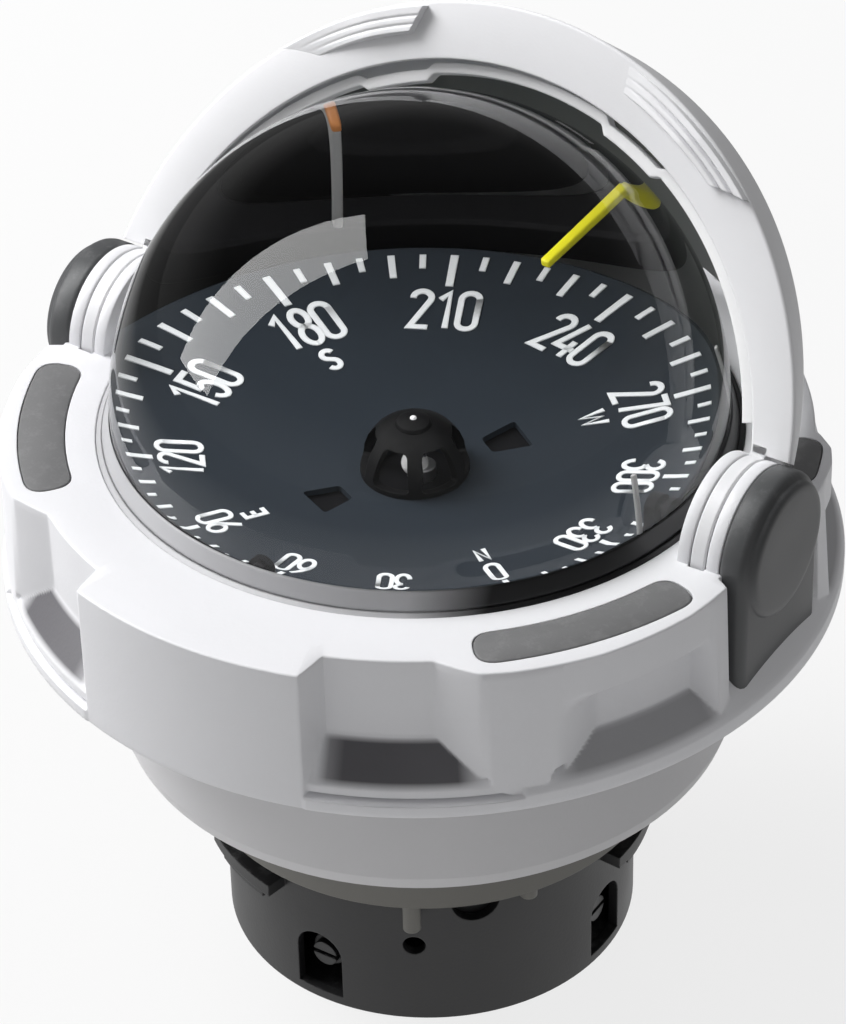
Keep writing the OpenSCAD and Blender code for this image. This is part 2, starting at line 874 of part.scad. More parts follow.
// Shaft with a slotted knob and a corrector magnet, along -Y before it is turned
module corrector() {
    color([0.13, 0.13, 0.13])
    translate([0, 0, shaft_z])
    rotate([90, 0, 0])
    difference() {
        union() {
            translate([0, 0, 6])
            cylinder(r = shaft_r, h = 34, $fn = 32);
            translate([0, 0, 38])
            cylinder(r = corr_knob_r - 1, h = 9, $fn = 48);
            translate([0, 0, 40])
            cylinder(r = corr_knob_r, h = 5, $fn = 48);
            // flat cross bar with the corrector magnet
            translate([0, 0, 28])
            cube([14, 4, 4], center = true);
        }
        translate([0, 0, 47])
        cube([12, 1.2, 4], center = true);
    }
}

module corrector_aft() {
    corrector();
}

module corrector_starboard() {
    rotate([0, 0, 90])
    corrector();
}

// Four screws through the floor of the skirt into the collar
module base_screws() {
    color([0.66, 0.66, 0.68])
    for (a = [45 : 90 : 315])
        rotate([0, 0, a])
        translate([40, 0, skirt_z + 3.02]) {
            difference() {
                cylinder(r = 3, h = 2, $fn = 32);
                translate([0, 0, 2])
                cube([8, 0.9, 1.6], center = true);
            }
        }
}

deck_flange();
deck_gasket();
insert_aft_port();
insert_aft_starboard();
insert_fore_port();
insert_fore_starboard();
bracket_port();
bracket_starboard();
pivot_pin_port();
pivot_pin_starboard();
disc_inner_port();
disc_inner_starboard();
disc_outer_port();
disc_outer_starboard();
hood_shell();
hood_ledge();
grip_port();
grip_starboard();
dome();
dome_seal();
bowl();
clamp_ring();
diaphragm();
mouth_cover();
filler_plug();
gimbal_ring();
roll_pins();
lubber_frame();
pitch_pins();
lubber_bow();
lubbers_side();
pivot_stem();
counterweight();
card_plate();
card_ticks();
hub_cage();
hub_cap();
jewel_cup();
magnets();
skirt();
skirt_floor();
collar();
spigot();
locating_pegs();
corrector_base();
corrector_block();
corrector_aft();
corrector_starboard();
base_screws();
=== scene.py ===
import bpy
import bmesh
import math
import numpy as np
from mathutils import Matrix, Vector


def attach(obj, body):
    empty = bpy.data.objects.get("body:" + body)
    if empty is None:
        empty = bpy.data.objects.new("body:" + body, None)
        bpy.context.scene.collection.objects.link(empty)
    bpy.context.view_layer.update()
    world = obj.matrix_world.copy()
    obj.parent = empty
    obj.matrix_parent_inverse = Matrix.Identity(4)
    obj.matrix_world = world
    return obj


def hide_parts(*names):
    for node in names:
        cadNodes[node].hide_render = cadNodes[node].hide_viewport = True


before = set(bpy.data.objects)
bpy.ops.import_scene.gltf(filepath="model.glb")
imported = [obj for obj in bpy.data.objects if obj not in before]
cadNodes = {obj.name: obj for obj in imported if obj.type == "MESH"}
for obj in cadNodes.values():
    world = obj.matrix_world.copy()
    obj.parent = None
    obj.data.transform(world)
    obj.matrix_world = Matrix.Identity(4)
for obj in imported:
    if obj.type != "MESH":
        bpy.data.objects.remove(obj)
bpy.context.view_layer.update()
print("frame loaded,", len(cadNodes), "nodes")

# millimetres in the part's own frame: X starboard, Y bow, Z up from the underside of the base
layout = {"domeZ": 144.0, "domeR": 70.0, "hingeZ": 137.7, "deckTop": 139.2}

# shapes: each is an array of points in millimetres with its faces


def gridFaces(rows, cols, wrapRows):
    # face (i, j) joins (i, j), (i + 1, j), (i + 1, j + 1) and (i, j + 1), counted round across the columns
    i = np.arange(rows if wrapRows else rows - 1)
    a, b = np.meshgrid(i, np.arange(cols), indexing="ij")
    c, d = (a + 1) % rows, (b + 1) % cols
    return np.stack([a * cols + b, c * cols + b, c * cols + d, a * cols + d], -1).reshape(-1, 4)


def softProfile(corners, radii, steps=4, closed=True):
    # each corner becomes the curve (1-s)^2 A + 2s(1-s) P + s^2 B, with A and B one radius along its two sides
    p = np.asarray(corners, float)
    r = np.broadcast_to(np.asarray(radii, float), p.shape[:-1])[..., None]
    toPrev = np.roll(p, 1, axis=-2) - p
    toNext = np.roll(p, -1, axis=-2) - p
    lenPrev = np.linalg.norm(toPrev, axis=-1, keepdims=True) + 1e-12
    lenNext = np.linalg.norm(toNext, axis=-1, keepdims=True) + 1e-12
    a = p + toPrev / lenPrev * np.minimum(r, 0.48 * lenPrev)
    b = p + toNext / lenNext * np.minimum(r, 0.48 * lenNext)
    s = np.linspace(0, 1, steps)[:, None]
    curve = (1 - s) ** 2 * a[..., None, :] + 2 * s * (1 - s) * p[..., None, :] + s ** 2 * b[..., None, :]
    if not closed:
        curve[..., 0, :, :] = p[..., :1, :]
        curve[..., -1, :, :] = p[..., -1:, :]
    return curve.reshape(p.shape[:-2] + (-1, p.shape[-1]))


def revolved(profile, count=180, lift=0.0):
    # closed profile of (radius, height) turned about Z: x = r cos a, y = r sin a, z = height + lift
    profile = np.asarray(profile, float)
    a = np.radians(np.linspace(0, 360, count, endpoint=False))[:, None]
    r, z = profile[:, 0][None], profile[:, 1][None] + lift
    points = np.stack([r * np.cos(a), r * np.sin(a), z + 0 * a], -1)
    return points.reshape(-1, 3), gridFaces(count, len(profile), True)


def lofted(loops):
    # closed loops (k, m, 3) joined one to the next, with a flat cap at each end
    loops = np.asarray(loops, float)
    k, m = loops.shape[:2]
    faces = list(gridFaces(k, m, False))
    faces += [list(range(m))[::-1], list(range((k - 1) * m, k * m))]
    return loops.reshape(-1, 3), faces


def joined(*shapes):
    # several shapes as one array of points and one list of faces
    points, faces, n = [], [], 0
    for p, f in shapes:
        points.append(np.asarray(p, float).reshape(-1, 3))
        faces += [[int(i) + n for i in face] for face in f]
        n += len(points[-1])
    return np.concatenate(points), faces


def atBearing(bearing, across, out, z):
    # bearing b is clockwise from the bow: x = out sin b + across cos b, y = out cos b - across sin b
    b = math.radians(bearing)
    x = out * math.sin(b) + across * math.cos(b)
    y = out * math.cos(b) - across * math.sin(b)
    return np.stack(np.broadcast_arrays(x, y, z), -1)


def acrossHinge(side, outline, steps):
    # a (y, z) outline about the hinge line, set at each step's x with the outline of that step
    loops = []
    for x, flat in zip(steps, outline):
        loops.append(np.stack([np.full(len(flat), side * x), flat[:, 0], flat[:, 1] + layout["hingeZ"]], -1))
    return lofted(loops)


def circle(radius, stepDegrees):
    # points radius cos a, radius sin a
    a = np.radians(np.arange(0, 360, stepDegrees))
    return radius * np.stack([np.cos(a), np.sin(a)], -1)


# pieces


def newMesh(name, shape, merged):
    # millimetres to metres, doubles merged where asked, faces turned outwards
    points, faces = shape
    mesh = bpy.data.meshes.new(name)
    mesh.from_pydata((np.asarray(points) * 0.001).tolist(), [], [list(map(int, f)) for f in faces])
    b = bmesh.new()
    b.from_mesh(mesh)
    if merged:
        bmesh.ops.remove_doubles(b, verts=b.verts, dist=2e-7)
    bmesh.ops.recalc_face_normals(b, faces=b.faces)
    b.to_mesh(mesh)
    b.free()
    return mesh


def smoothed(mesh, sharp):
    # smooth shading that keeps edges sharper than the angle
    mesh.polygons.foreach_set("use_smooth", np.ones(len(mesh.polygons), bool))
    mesh.set_sharp_from_angle(angle=math.radians(sharp))


def placed(name, data):
    # an object with the data, linked to the scene
    thing = bpy.data.objects.new(name, data)
    bpy.context.scene.collection.objects.link(thing)
    return thing


def makePiece(name, shape, finish, body, stands=(), sharp=32):
    # a finished piece on its body, standing for the named CAD nodes
    mesh = newMesh(name, shape, True)
    smoothed(mesh, sharp)
    mesh.materials.append(materials[finish])
    piece = placed(name, mesh)
    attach(piece, body)
    if stands:
        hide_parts(*stands)
    return piece


def cutBy(piece, cutters):
    # takes each cutter's volume out of the piece and keeps the result as its mesh
    for shape in cutters:
        tool = placed("cutter", newMesh("cutter", shape, False))
        cut = piece.modifiers.new("cut", "BOOLEAN")
        cut.operation, cut.object, cut.solver = "DIFFERENCE", tool, "EXACT"
        shown = bpy.context.evaluated_depsgraph_get()
        result = bpy.data.meshes.new_from_object(piece.evaluated_get(shown))
        piece.modifiers.clear()
        old = piece.data
        piece.data = result
        bpy.data.meshes.remove(old)
        bpy.data.objects.remove(tool)
    smoothed(piece.data, 32)


def faceData(mesh):
    # the middle of each face in millimetres and its normal
    n = len(mesh.polygons)
    centre, normal = np.empty(3 * n), np.empty(3 * n)
    mesh.polygons.foreach_get("center", centre)
    mesh.polygons.foreach_get("normal", normal)
    return centre.reshape(-1, 3) * 1000, normal.reshape(-1, 3)


# shader nodes

groups = {}


def newGroup(name, inputs, outputs):
    # a shader group with float inputs and their values, and outputs of the kinds given
    tree = bpy.data.node_groups.new(name, "ShaderNodeTree")
    for label, value in inputs.items():
        socket = tree.interface.new_socket(label, in_out="INPUT", socket_type="NodeSocketFloat")
        socket.default_value = value
    for label, kind in outputs.items():
        tree.interface.new_socket(label, in_out="OUTPUT", socket_type=kind)
    groups[name] = tree
    return tree, tree.nodes.new("NodeGroupInput"), tree.nodes.new("NodeGroupOutput")


def addNode(tree, kind, links=None, **values):
    # one node with its settings, its plain socket values and its links
    node = tree.nodes.new(kind)
    for key, value in values.items():
        if hasattr(node, key) and key not in node.inputs:
            setattr(node, key, value)
        else:
            node.inputs[key].default_value = value
    for key, socket in (links or {}).items():
        tree.links.new(socket, node.inputs[key])
    return node


def mathNode(tree, operation, a, b, clamp=False):
    # a op b, each a number or a socket
    node = tree.nodes.new("ShaderNodeMath")
    node.operation, node.use_clamp = operation, clamp
    for i, value in enumerate((a, b)):
        if isinstance(value, (int, float)):
            node.inputs[i].default_value = value
        else:
            tree.links.new(value, node.inputs[i])
    return node.outputs[0]


def ramped(tree, value, low, high, bottom=0.0, top=1.0):
    # value carried from low..high to bottom..top, and held beyond
    ends = {"From Min": low, "From Max": high, "To Min": bottom, "To Max": top}
    return addNode(tree, "ShaderNodeMapRange", {"Value": value}, **ends).outputs["Result"]


def blended(tree, amount, first, second):
    # the first colour, a socket or a plain colour, going to the second with the amount
    mix = addNode(tree, "ShaderNodeMix", {"Factor": amount}, data_type="RGBA")
    if isinstance(first, bpy.types.NodeSocket):
        tree.links.new(first, mix.inputs["A"])
    else:
        mix.inputs["A"].default_value = (*first, 1)
    mix.inputs["B"].default_value = (*second, 1)
    return mix.outputs["Result"]


def objectPlace(tree):
    # the shaded point in metres, in the object's own frame
    return addNode(tree, "ShaderNodeTexCoord").outputs["Object"]


def parts(tree, vector):
    # the X, Y and Z of a vector
    return addNode(tree, "ShaderNodeSeparateXYZ", {"Vector": vector}).outputs


def buildGroups():
    # mouldGrain: fine orange-peel height and slow mottling of a moulded surface
    floating = "NodeSocketFloat"
    kinds = {"Height": floating, "Tone": floating}
    tree, source, sink = newGroup("mouldGrain", {"Scale": 1300.0, "Mottle": 60.0}, kinds)
    given = source.outputs
    place = objectPlace(tree)
    links = {"Vector": place, "Scale": given["Scale"]}
    fine = addNode(tree, "ShaderNodeTexNoise", links, Detail=3.0, Roughness=0.6)
    cells = addNode(tree, "ShaderNodeTexVoronoi", links)
    slow = addNode(tree, "ShaderNodeTexNoise", {"Vector": place, "Scale": given["Mottle"]}, Detail=4.0)
    height = mathNode(tree, "MULTIPLY", fine.outputs["Fac"], cells.outputs["Distance"])
    tree.links.new(height, sink.inputs["Height"])
    tree.links.new(slow.outputs["Fac"], sink.inputs["Tone"])

    # edgeHighlight: 0 on flat faces, 1 on edges, from the turn between the face and its rounded normal; the
    # mask paints a highlight along edges
    kinds = {"Mask": floating, "Normal": "NodeSocketVector"}
    tree, source, sink = newGroup("edgeHighlight", {"Reach": 0.0006, "Gain": 3.0}, kinds)
    bevel = addNode(tree, "ShaderNodeBevel", {"Radius": source.outputs["Reach"]}, samples=3)
    dot = addNode(tree, "ShaderNodeVectorMath", {0: bevel.outputs["Normal"]}, operation="DOT_PRODUCT")
    tree.links.new(addNode(tree, "ShaderNodeNewGeometry").outputs["Normal"], dot.inputs[1])
    turn = mathNode(tree, "SUBTRACT", 1.0, dot.outputs["Value"])
    mask = mathNode(tree, "MULTIPLY", turn, source.outputs["Gain"], clamp=True)
    tree.links.new(mask, sink.inputs["Mask"])
    tree.links.new(bevel.outputs["Normal"], sink.inputs["Normal"])

    # restDust: faint dust on faces that look up, broken by noise
    tree, source, sink = newGroup("restDust", {"Amount": 0.3, "Scale": 180.0}, {"Mask": floating})
    normal = addNode(tree, "ShaderNodeNewGeometry").outputs["Normal"]
    facing = ramped(tree, parts(tree, normal)["Z"], 0.3, 1.0)
    links = {"Vector": objectPlace(tree), "Scale": source.outputs["Scale"]}
    speck = addNode(tree, "ShaderNodeTexNoise", links, Detail=8.0, Roughness=0.75)
    sparse = ramped(tree, speck.outputs["Fac"], 0.5, 0.75)
    both = mathNode(tree, "MULTIPLY", facing, sparse)
    amount = mathNode(tree, "MULTIPLY", both, source.outputs["Amount"], clamp=True)
    tree.links.new(amount, sink.inputs["Mask"])


buildGroups()
materials = {}


def newMaterial(name):
    # a material with nodes, kept under its name
    m = bpy.data.materials.new(name)
    m.use_nodes = True
    materials[name] = m
    return m.node_tree


def moulded(name, colour, rough, scale=1300.0, depth=0.00004, tone=0.05, edge=0.25, reach=0.0005,
            dust=0.25, metal=0.0, specular=0.5):
    # a moulded, turned or painted finish: mottled colour, paler along edges as a painted highlight and paler
    # under dust, with fine grain
    tree = newMaterial(name)
    shader = tree.nodes["Principled BSDF"]
    shader.inputs["Metallic"].default_value = metal
    shader.inputs["Specular IOR Level"].default_value = specular

    def place(group, **values):
        # one of the shader groups with its values
        node = addNode(tree, "ShaderNodeGroup", node_tree=groups[group])
        for key, value in values.items():
            node.inputs[key].default_value = value
        return node.outputs

    grain = place("mouldGrain", Scale=scale, Mottle=45.0)
    edgeLight = place("edgeHighlight", Reach=reach, Gain=2.5)
    settled = place("restDust", Amount=dust, Scale=260.0)
    base = np.array(colour)
    mottle = blended(tree, grain["Tone"], base * (1 - tone), np.minimum(base * (1 + tone), 0.95))
    # painted highlight: edges are lightened by the edge mask times edge
    highlighted = mathNode(tree, "MULTIPLY", edgeLight["Mask"], edge)
    highlighted = blended(tree, highlighted, mottle, np.minimum(base * 1.25 + 0.06, 0.95))
    dusty = blended(tree, settled["Mask"], highlighted, np.minimum(base * 0.6 + 0.3, 0.9))
    tree.links.new(dusty, shader.inputs["Base Color"])
    roughness = ramped(tree, grain["Tone"], 0.0, 1.0, rough - 0.06, rough + 0.08)
    tree.links.new(roughness, shader.inputs["Roughness"])
    links = {"Height": grain["Height"], "Normal": edgeLight["Normal"]}
    bump = addNode(tree, "ShaderNodeBump", links, Strength=0.5, Distance=depth)
    tree.links.new(bump.outputs["Normal"], shader.inputs["Normal"])


def clearFinish(name, tint, ior):
    # clear plastic or liquid that lets lamp light straight through
    tree = newMaterial(name)
    shader = tree.nodes["Principled BSDF"]
    shader.inputs["Base Color"].default_value = (*tint, 1)
    shader.inputs["Transmission Weight"].default_value = 1.0
    shader.inputs["IOR"].default_value = ior
    shader.inputs["Roughness"].default_value = 0.0
    clear = addNode(tree, "ShaderNodeBsdfTransparent", Color=(*tint, 1))
    shadow = addNode(tree, "ShaderNodeLightPath").outputs["Is Shadow Ray"]
    links = {0: shadow, 1: shader.outputs["BSDF"], 2: clear.outputs["BSDF"]}
    both = addNode(tree, "ShaderNodeMixShader", links)
    tree.links.new(both.outputs["Shader"], tree.nodes["Material Output"].inputs["Surface"])


def tinted(name, mask, tint):
    # blends a moulded finish towards the tint where the mask is 1
    tree = materials[name].node_tree
    shader = tree.nodes["Principled BSDF"]
    plain = shader.inputs["Base Color"].links[0].from_socket
    tree.links.new(blended(tree, mask(tree), plain, tint), shader.inputs["Base Color"])


def bowlMask(tree):
    # painted light on the bowl wall for the key lamp's lit band: rises where z + 0.714 x passes 98 mm, with a
    # faint painted glow below that slanting line
    place = parts(tree, objectPlace(tree))
    height = mathNode(tree, "ADD", place["Z"], mathNode(tree, "MULTIPLY", place["X"], 0.714))
    edge = ramped(tree, height, 0.0977, 0.0987)
    glow = ramped(tree, height, 0.086, 0.099, 0.0, 0.1)
    return mathNode(tree, "MAXIMUM", edge, glow)


def floorMask(tree):
    # painted shade on the recess and pocket floors, read from the deck's attribute shade
    return addNode(tree, "ShaderNodeAttribute", attribute_name="shade").outputs["Fac"]


def starboardMask(tree):
    # painted reflection of the dark starboard insert in the dome foot: rises from 0 to 1 between x = 36 and
    # 50 mm
    return ramped(tree, parts(tree, objectPlace(tree))["X"], 0.036, 0.05)


wet = {"dust": 0.0}
dull = {"dust": 0.0, "specular": 0.2}
moulded("deckWhite", (0.80, 0.80, 0.825), 0.42, scale=1100.0, depth=0.00007, tone=0.02, edge=0.3,
        reach=0.0004)
moulded("hoodWhite", (0.82, 0.82, 0.84), 0.38, scale=1500.0, depth=0.00003, tone=0.015, edge=0.3,
        reach=0.0004)
# painted shade: a dark colour for the hood's inner faces and the grip pads' inner walls
moulded("hoodPaintedShade", (0.11, 0.118, 0.112), 0.5, depth=0.00003, edge=0.15)
# painted light: the ledge's white is a little paler than the hood's, to lift it out of the hood's shade
moulded("ledgeLitWhite", (0.86, 0.86, 0.87), 0.45, scale=1500.0, depth=0.00003, tone=0.03)
moulded("insertGrey", (0.165, 0.165, 0.168), 0.5, scale=1700.0, depth=0.00006, tone=0.08, edge=0.35)
moulded("bracketGrey", (0.075, 0.077, 0.08), 0.42, scale=1500.0, tone=0.08)
moulded("skirtWhite", (0.66, 0.655, 0.67), 0.45, scale=1200.0, depth=0.00005, tone=0.03, edge=0.2)
# the collar's own brownish grey, darkened as painted shade for the shadow under the skirt
moulded("collarShadedGrey", (0.17, 0.165, 0.15), 0.5, depth=0.00006, tone=0.06)
moulded("baseBlack", (0.014, 0.014, 0.015), 0.45, scale=1200.0, depth=0.00006, tone=0.15, edge=0.2)
moulded("knobBlack", (0.008, 0.008, 0.009), 0.36, scale=1400.0, tone=0.15)
moulded("innerGrey", (0.02, 0.021, 0.022), 0.6, scale=900.0, tone=0.06, edge=0.0, **dull)
moulded("bowlDark", (0.006, 0.0065, 0.007), 0.6, scale=900.0, depth=0.00003, tone=0.06, edge=0.0, **dull)
moulded("ringBlack", (0.005, 0.005, 0.006), 0.6, depth=0.00001, tone=0.1, edge=0.0, reach=0.0003, dust=0.0,
        specular=0.1)
moulded("hubBlack", (0.003, 0.003, 0.0035), 0.5, depth=0.00001, tone=0.1, edge=0.0, reach=0.0002, **dull)
moulded("cardBlack", (0.016, 0.0215, 0.029), 0.6, scale=1600.0, depth=0.000001, tone=0.12, edge=0.0,
        reach=0.00005, **dull)
moulded("dialWhite", (0.78, 0.8, 0.82), 0.55, scale=1600.0, depth=0.000001, tone=0.04, edge=0.0,
        reach=0.0003, **wet)
# painted reflection: a grey for the white deck seen in the dome's foot
moulded("footReflection", (0.45, 0.45, 0.465), 0.35, depth=0.00002, edge=0.0, **wet)
moulded("lubberYellow", (0.86, 0.8, 0.02), 0.4, scale=1500.0, depth=0.00003, edge=0.2, **wet)
moulded("lubberPale", (0.42, 0.42, 0.42), 0.45, scale=1500.0, depth=0.00003, tone=0.08, edge=0.2, **wet)
moulded("tipAmber", (0.7, 0.25, 0.05), 0.45, scale=1500.0, depth=0.00003, tone=0.08, edge=0.2, **wet)
moulded("rubberBlack", (0.02, 0.02, 0.02), 0.7, scale=800.0, depth=0.00008, tone=0.15, edge=0.1)
moulded("pinSteel", (0.62, 0.62, 0.64), 0.28, scale=2200.0, depth=0.00001, edge=0.3, metal=1.0)
moulded("weightBrass", (0.72, 0.55, 0.26), 0.35, scale=2000.0, depth=0.00001, tone=0.08, edge=0.3, metal=1.0)
moulded("magnetIron", (0.04, 0.04, 0.045), 0.5, scale=1500.0, depth=0.00003, tone=0.1, edge=0.3, metal=1.0)
# painted highlight: plain white in place of glints on the steel pivot ball and pin
moulded("glintWhite", (0.92, 0.92, 0.93), 0.2, scale=1500.0, depth=0.00001, tone=0.03, edge=0.2, **wet)
clearFinish("domeClear", (0.985, 0.99, 0.985), 1.44)
# painted light: the dark bowl wall turns grey above the slanting line
tinted("bowlDark", bowlMask, (0.26, 0.265, 0.27))
# painted shade: the white deck goes dark grey on the recess and pocket floors
tinted("deckWhite", floorMask, (0.115, 0.112, 0.122))
# painted reflection: the foot ring goes dark towards starboard, where the dark insert is mirrored
tinted("footReflection", starboardMask, (0.008, 0.008, 0.009))
print("materials ready:", len(materials))

# every CAD node gets its finish here, whether a new piece stands for it later or not
finishes = {
    "deckWhite": ["deck_flange", "disc_inner_port", "disc_inner_starboard", "disc_outer_port",
                  "disc_outer_starboard"],
    "hoodWhite": ["hood_shell", "grip_port", "grip_starboard"],
    "ledgeLitWhite": ["hood_ledge"],
    "insertGrey": ["insert_aft_port", "insert_aft_starboard", "insert_fore_port", "insert_fore_starboard"],
    "bracketGrey": ["bracket_port", "bracket_starboard"],
    "skirtWhite": ["skirt", "skirt_floor"],
    "collarShadedGrey": ["collar", "locating_pegs"],
    "baseBlack": ["corrector_base", "spigot"],
    "knobBlack": ["corrector_aft", "corrector_starboard", "corrector_block"],
    "innerGrey": ["bowl", "clamp_ring", "mouth_cover", "filler_plug"],
    "ringBlack": ["gimbal_ring", "lubber_frame", "roll_pins", "pitch_pins"],
    "hubBlack": ["hub_cage", "hub_cap"],
    "cardBlack": ["card_plate"],
    "dialWhite": ["card_ticks"],
    "lubberYellow": ["lubber_bow"],
    "lubberPale": ["lubbers_side"],
    "rubberBlack": ["deck_gasket", "dome_seal", "diaphragm"],
    "pinSteel": ["pivot_pin_port", "pivot_pin_starboard", "pivot_stem", "base_screws"],
    "weightBrass": ["counterweight"],
    "magnetIron": ["magnets"],
    "glintWhite": ["jewel_cup"],
    "domeClear": ["dome"],
}
for finish, names in finishes.items():
    for nodeName in names:
        cadNodes[nodeName].data.materials.clear()
        cadNodes[nodeName].data.materials.append(materials[finish])

# the white deck ring with its finger recesses, ribs and pockets
# angles are from the aft or bow line in degrees, and heights from the middle of the dome

deck = {
    "outlineAngle": [0, 17.2, 19.2, 34.3, 40.0, 44.4, 56.0, 70.0, 77.6, 78.3, 90.0],
    "outlineTop": [96.6, 96.6, 88.9, 88.9, 94.2, 94.9, 95.4, 94.2, 92.4, 88.0, 86.2],
    "foreAngle": [0, 17.2, 19.2, 34.3, 62.0, 63.5, 66.5, 70.0, 77.6, 78.3, 90.0],
    "foreTop": [96.6, 96.6, 88.9, 88.9, 88.3, 90.2, 92.8, 93.6, 92.8, 88.0, 86.2],
    "pocketAngle": [0, 17.2, 19.2, 34.3, 40.0, 41.2, 49.8, 57.0, 72.5, 74.7, 77.6, 78.3, 90.0],
    "pocketOutline": [96.6, 96.6, 88.9, 88.9, 94.4, 95.7, 95.9, 89.0, 89.0, 95.6, 94.0, 88.0, 86.2],
    "recessFloorZ": [-41, -37.7, -37.55, -36.95, -36.8, -34.6, -33.6, -25.2, 0],
    "recessFloorR": [96.9, 96.9, 94.2, 94.2, 95.6, 95.6, 94.7, 88.9, 88.9],
    "pocketFloorZ": [-41, -37.3, -36.4, -29.6, 0],
    "pocketFloorR": [96.9, 96.9, 96.3, 89.0, 89.0],
    "blockTo": 17.2, "ceiling": (-14.5, -19.5), "swellFrom": -5, "swellOver": 30,
    "ribMiddle": 45.3, "ribHalf": 4.3, "ribTip": (-32.5, -37.9), "ribZone": (38, 51),
    "bezelR": 73.4, "cavityR": 75.2, "ledgeZ": -10.8, "flatFrom": 84.5, "bottom": -41, "edge": 0.55,
    "fine": 0.1, "lowest": -41.2, "hingeGap": (79.05, 83.0), "hingeHalf": 17.6, "hingeDepth": 17,
    "stepsAngle": [(0, 17, 2.4), (16.6, 20, 0.3), (20, 34, 2.0), (33.8, 45.4, 0.35), (45.4, 61, 0.5),
                   (61, 79, 0.35), (79, 90.01, 1.6), (90, 90.1, 1)],
    "stepsHeight": [(-40.6, -38.3, 1.1), (-38, -33, 0.3), (-33, -24.6, 0.6), (-24, -20, 1.3), (-20, -14, 0.5),
                    (-13.6, -6, 1.6)],
}
insertShape = {"inner": 80.2, "outer": 91.1, "aft": (39.8, 73.4), "fore": (64.6, 76.4), "corner": 5.0,
               "deep": 1.5, "proud": 0.12, "gap": 0.22, "lip": 0.45, "bendR": 86.0, "halfSize": (20.0, 6.0)}
floorShade = {"height": ((-36.5, -35), (-24, -26)), "radius": ((88.8, 89.6), (96.6, 95.8)),
              "facing": (0.15, 0.45), "recess": ((18.5, 20.5), (41, 37)), "recessFoot": (-34.6, -33.2),
              "pocket": ((49, 53), (76, 73)), "pocketShare": 0.6}


def deckRadius(t, z, quarter):
    # the outline at that height, or the sloping floor where it reaches further out
    top = np.interp(t, deck[quarter + "Angle"], deck[quarter + "Top"])
    low = np.interp(t, deck["pocketAngle"], deck["pocketOutline"])
    c0, c1 = deck["ceiling"]
    inPocket = np.clip((c0 - z) / (c0 - c1), 0, 1)
    swell = np.clip((deck["swellFrom"] - z) / deck["swellOver"], 0, 1)
    wall = top + (low - top) * np.where(low < top, inPocket, swell)
    recess = np.interp(z, deck["recessFloorZ"], deck["recessFloorR"])
    pocket = np.interp(z, deck["pocketFloorZ"], deck["pocketFloorR"])
    floor = np.where(t < deck["ribMiddle"], recess, pocket)
    tip0, tip1 = deck["ribTip"]
    down = np.clip((tip0 - z) / (tip0 - tip1), 0, 1)
    half = deck["ribHalf"] * np.sqrt(1 - down ** 2)
    zone0, zone1 = deck["ribZone"]
    offRib = (np.abs(t - deck["ribMiddle"]) > half) & (t > zone0) & (t < zone1) & (z < tip0)
    wall = np.where(offRib, np.minimum(wall, floor), wall)
    return np.maximum(wall, np.where(t < deck["blockTo"], 0, floor))


def softened(field, reach, axis):
    # moving average over 2 * reach + 1 samples, mirrored at the ends
    pad = [(0, 0), (0, 0)]
    pad[axis] = (reach, reach)
    start = [(1, 0) if a == axis else (0, 0) for a in (0, 1)]
    wide = np.cumsum(np.pad(np.pad(field, pad, mode="reflect"), start), axis=axis)
    n = field.shape[axis]
    hi = np.take(wide, np.arange(n) + 2 * reach + 1, axis=axis)
    lo = np.take(wide, np.arange(n), axis=axis)
    return (hi - lo) / (2 * reach + 1)


def deckShape():
    # radius field on a fine grid, softened, then sampled where it bends
    # rows run from the cavity over the top, down the wall and under the foot
    fine, lowest, e = deck["fine"], deck["lowest"], deck["edge"]
    fineT, fineZ = np.arange(0, 90.05, fine), np.arange(lowest, -4.0, fine)
    samples = lambda stretches: np.unique(np.round(np.concatenate([np.arange(*s) for s in stretches]), 1))
    index = lambda value: np.round(value * 10).astype(int)
    t = samples(deck["stepsAngle"])
    z = samples(deck["stepsHeight"])[::-1]
    top = layout["deckTop"] - layout["domeZ"]
    walls, rims = [], []
    for quarter in ("outline", "fore"):
        field = deckRadius(fineT[:, None], fineZ[None, :], quarter)
        for _ in range(2):
            field = softened(softened(field, 1, 0), 1, 1)
        part = field[index(t)]
        walls.append(part[:, index(z - lowest)])
        rims.append(part[:, index(top - lowest - 0.4)])
    angles = np.concatenate([270 + t, 450 - t[::-1][1:], 450 + t[1:], 630 - t[::-1][1:-1]])
    spread = lambda aft, fore: np.concatenate([aft, fore[::-1][1:], fore[1:], aft[::-1][1:-1]])
    wall, rim = spread(*walls), spread(*rims)[:, None]
    turn = np.radians(np.array([0, 22, 45, 68]))
    ones = np.ones((len(angles), 1))
    cavity, bezel, shelf = deck["cavityR"], deck["bezelR"], deck["ledgeZ"]
    inner = [(cavity, deck["bottom"]), (cavity, shelf), (bezel, shelf), (bezel, top - 0.35),
             (deck["flatFrom"], top)]
    inner = softProfile(inner, [0.3, 0.3, 0.3, 0.7, 0.1], 3, closed=False)
    rows = [np.broadcast_to(inner[None], (len(angles), len(inner), 2))]
    rows.append(np.stack([rim - e + e * np.sin(turn)[None], top - e + e * np.cos(turn)[None] + 0 * rim], -1))
    rows.append(np.stack([wall, z[None] + 0 * wall], -1))
    rows.append(np.stack([wall[:, -1:] - 0.15, (deck["bottom"] + 0.1) * ones], -1))
    rows.append(np.stack([wall[:, -1:] - 0.5, deck["bottom"] * ones], -1))
    section = np.concatenate(rows, axis=1)
    a = np.radians(angles)[:, None]
    r, height = section[..., 0], section[..., 1]
    points = np.stack([r * np.cos(a), r * np.sin(a), height + layout["domeZ"]], -1)
    return points.reshape(-1, 3), gridFaces(section.shape[0], section.shape[1], True)


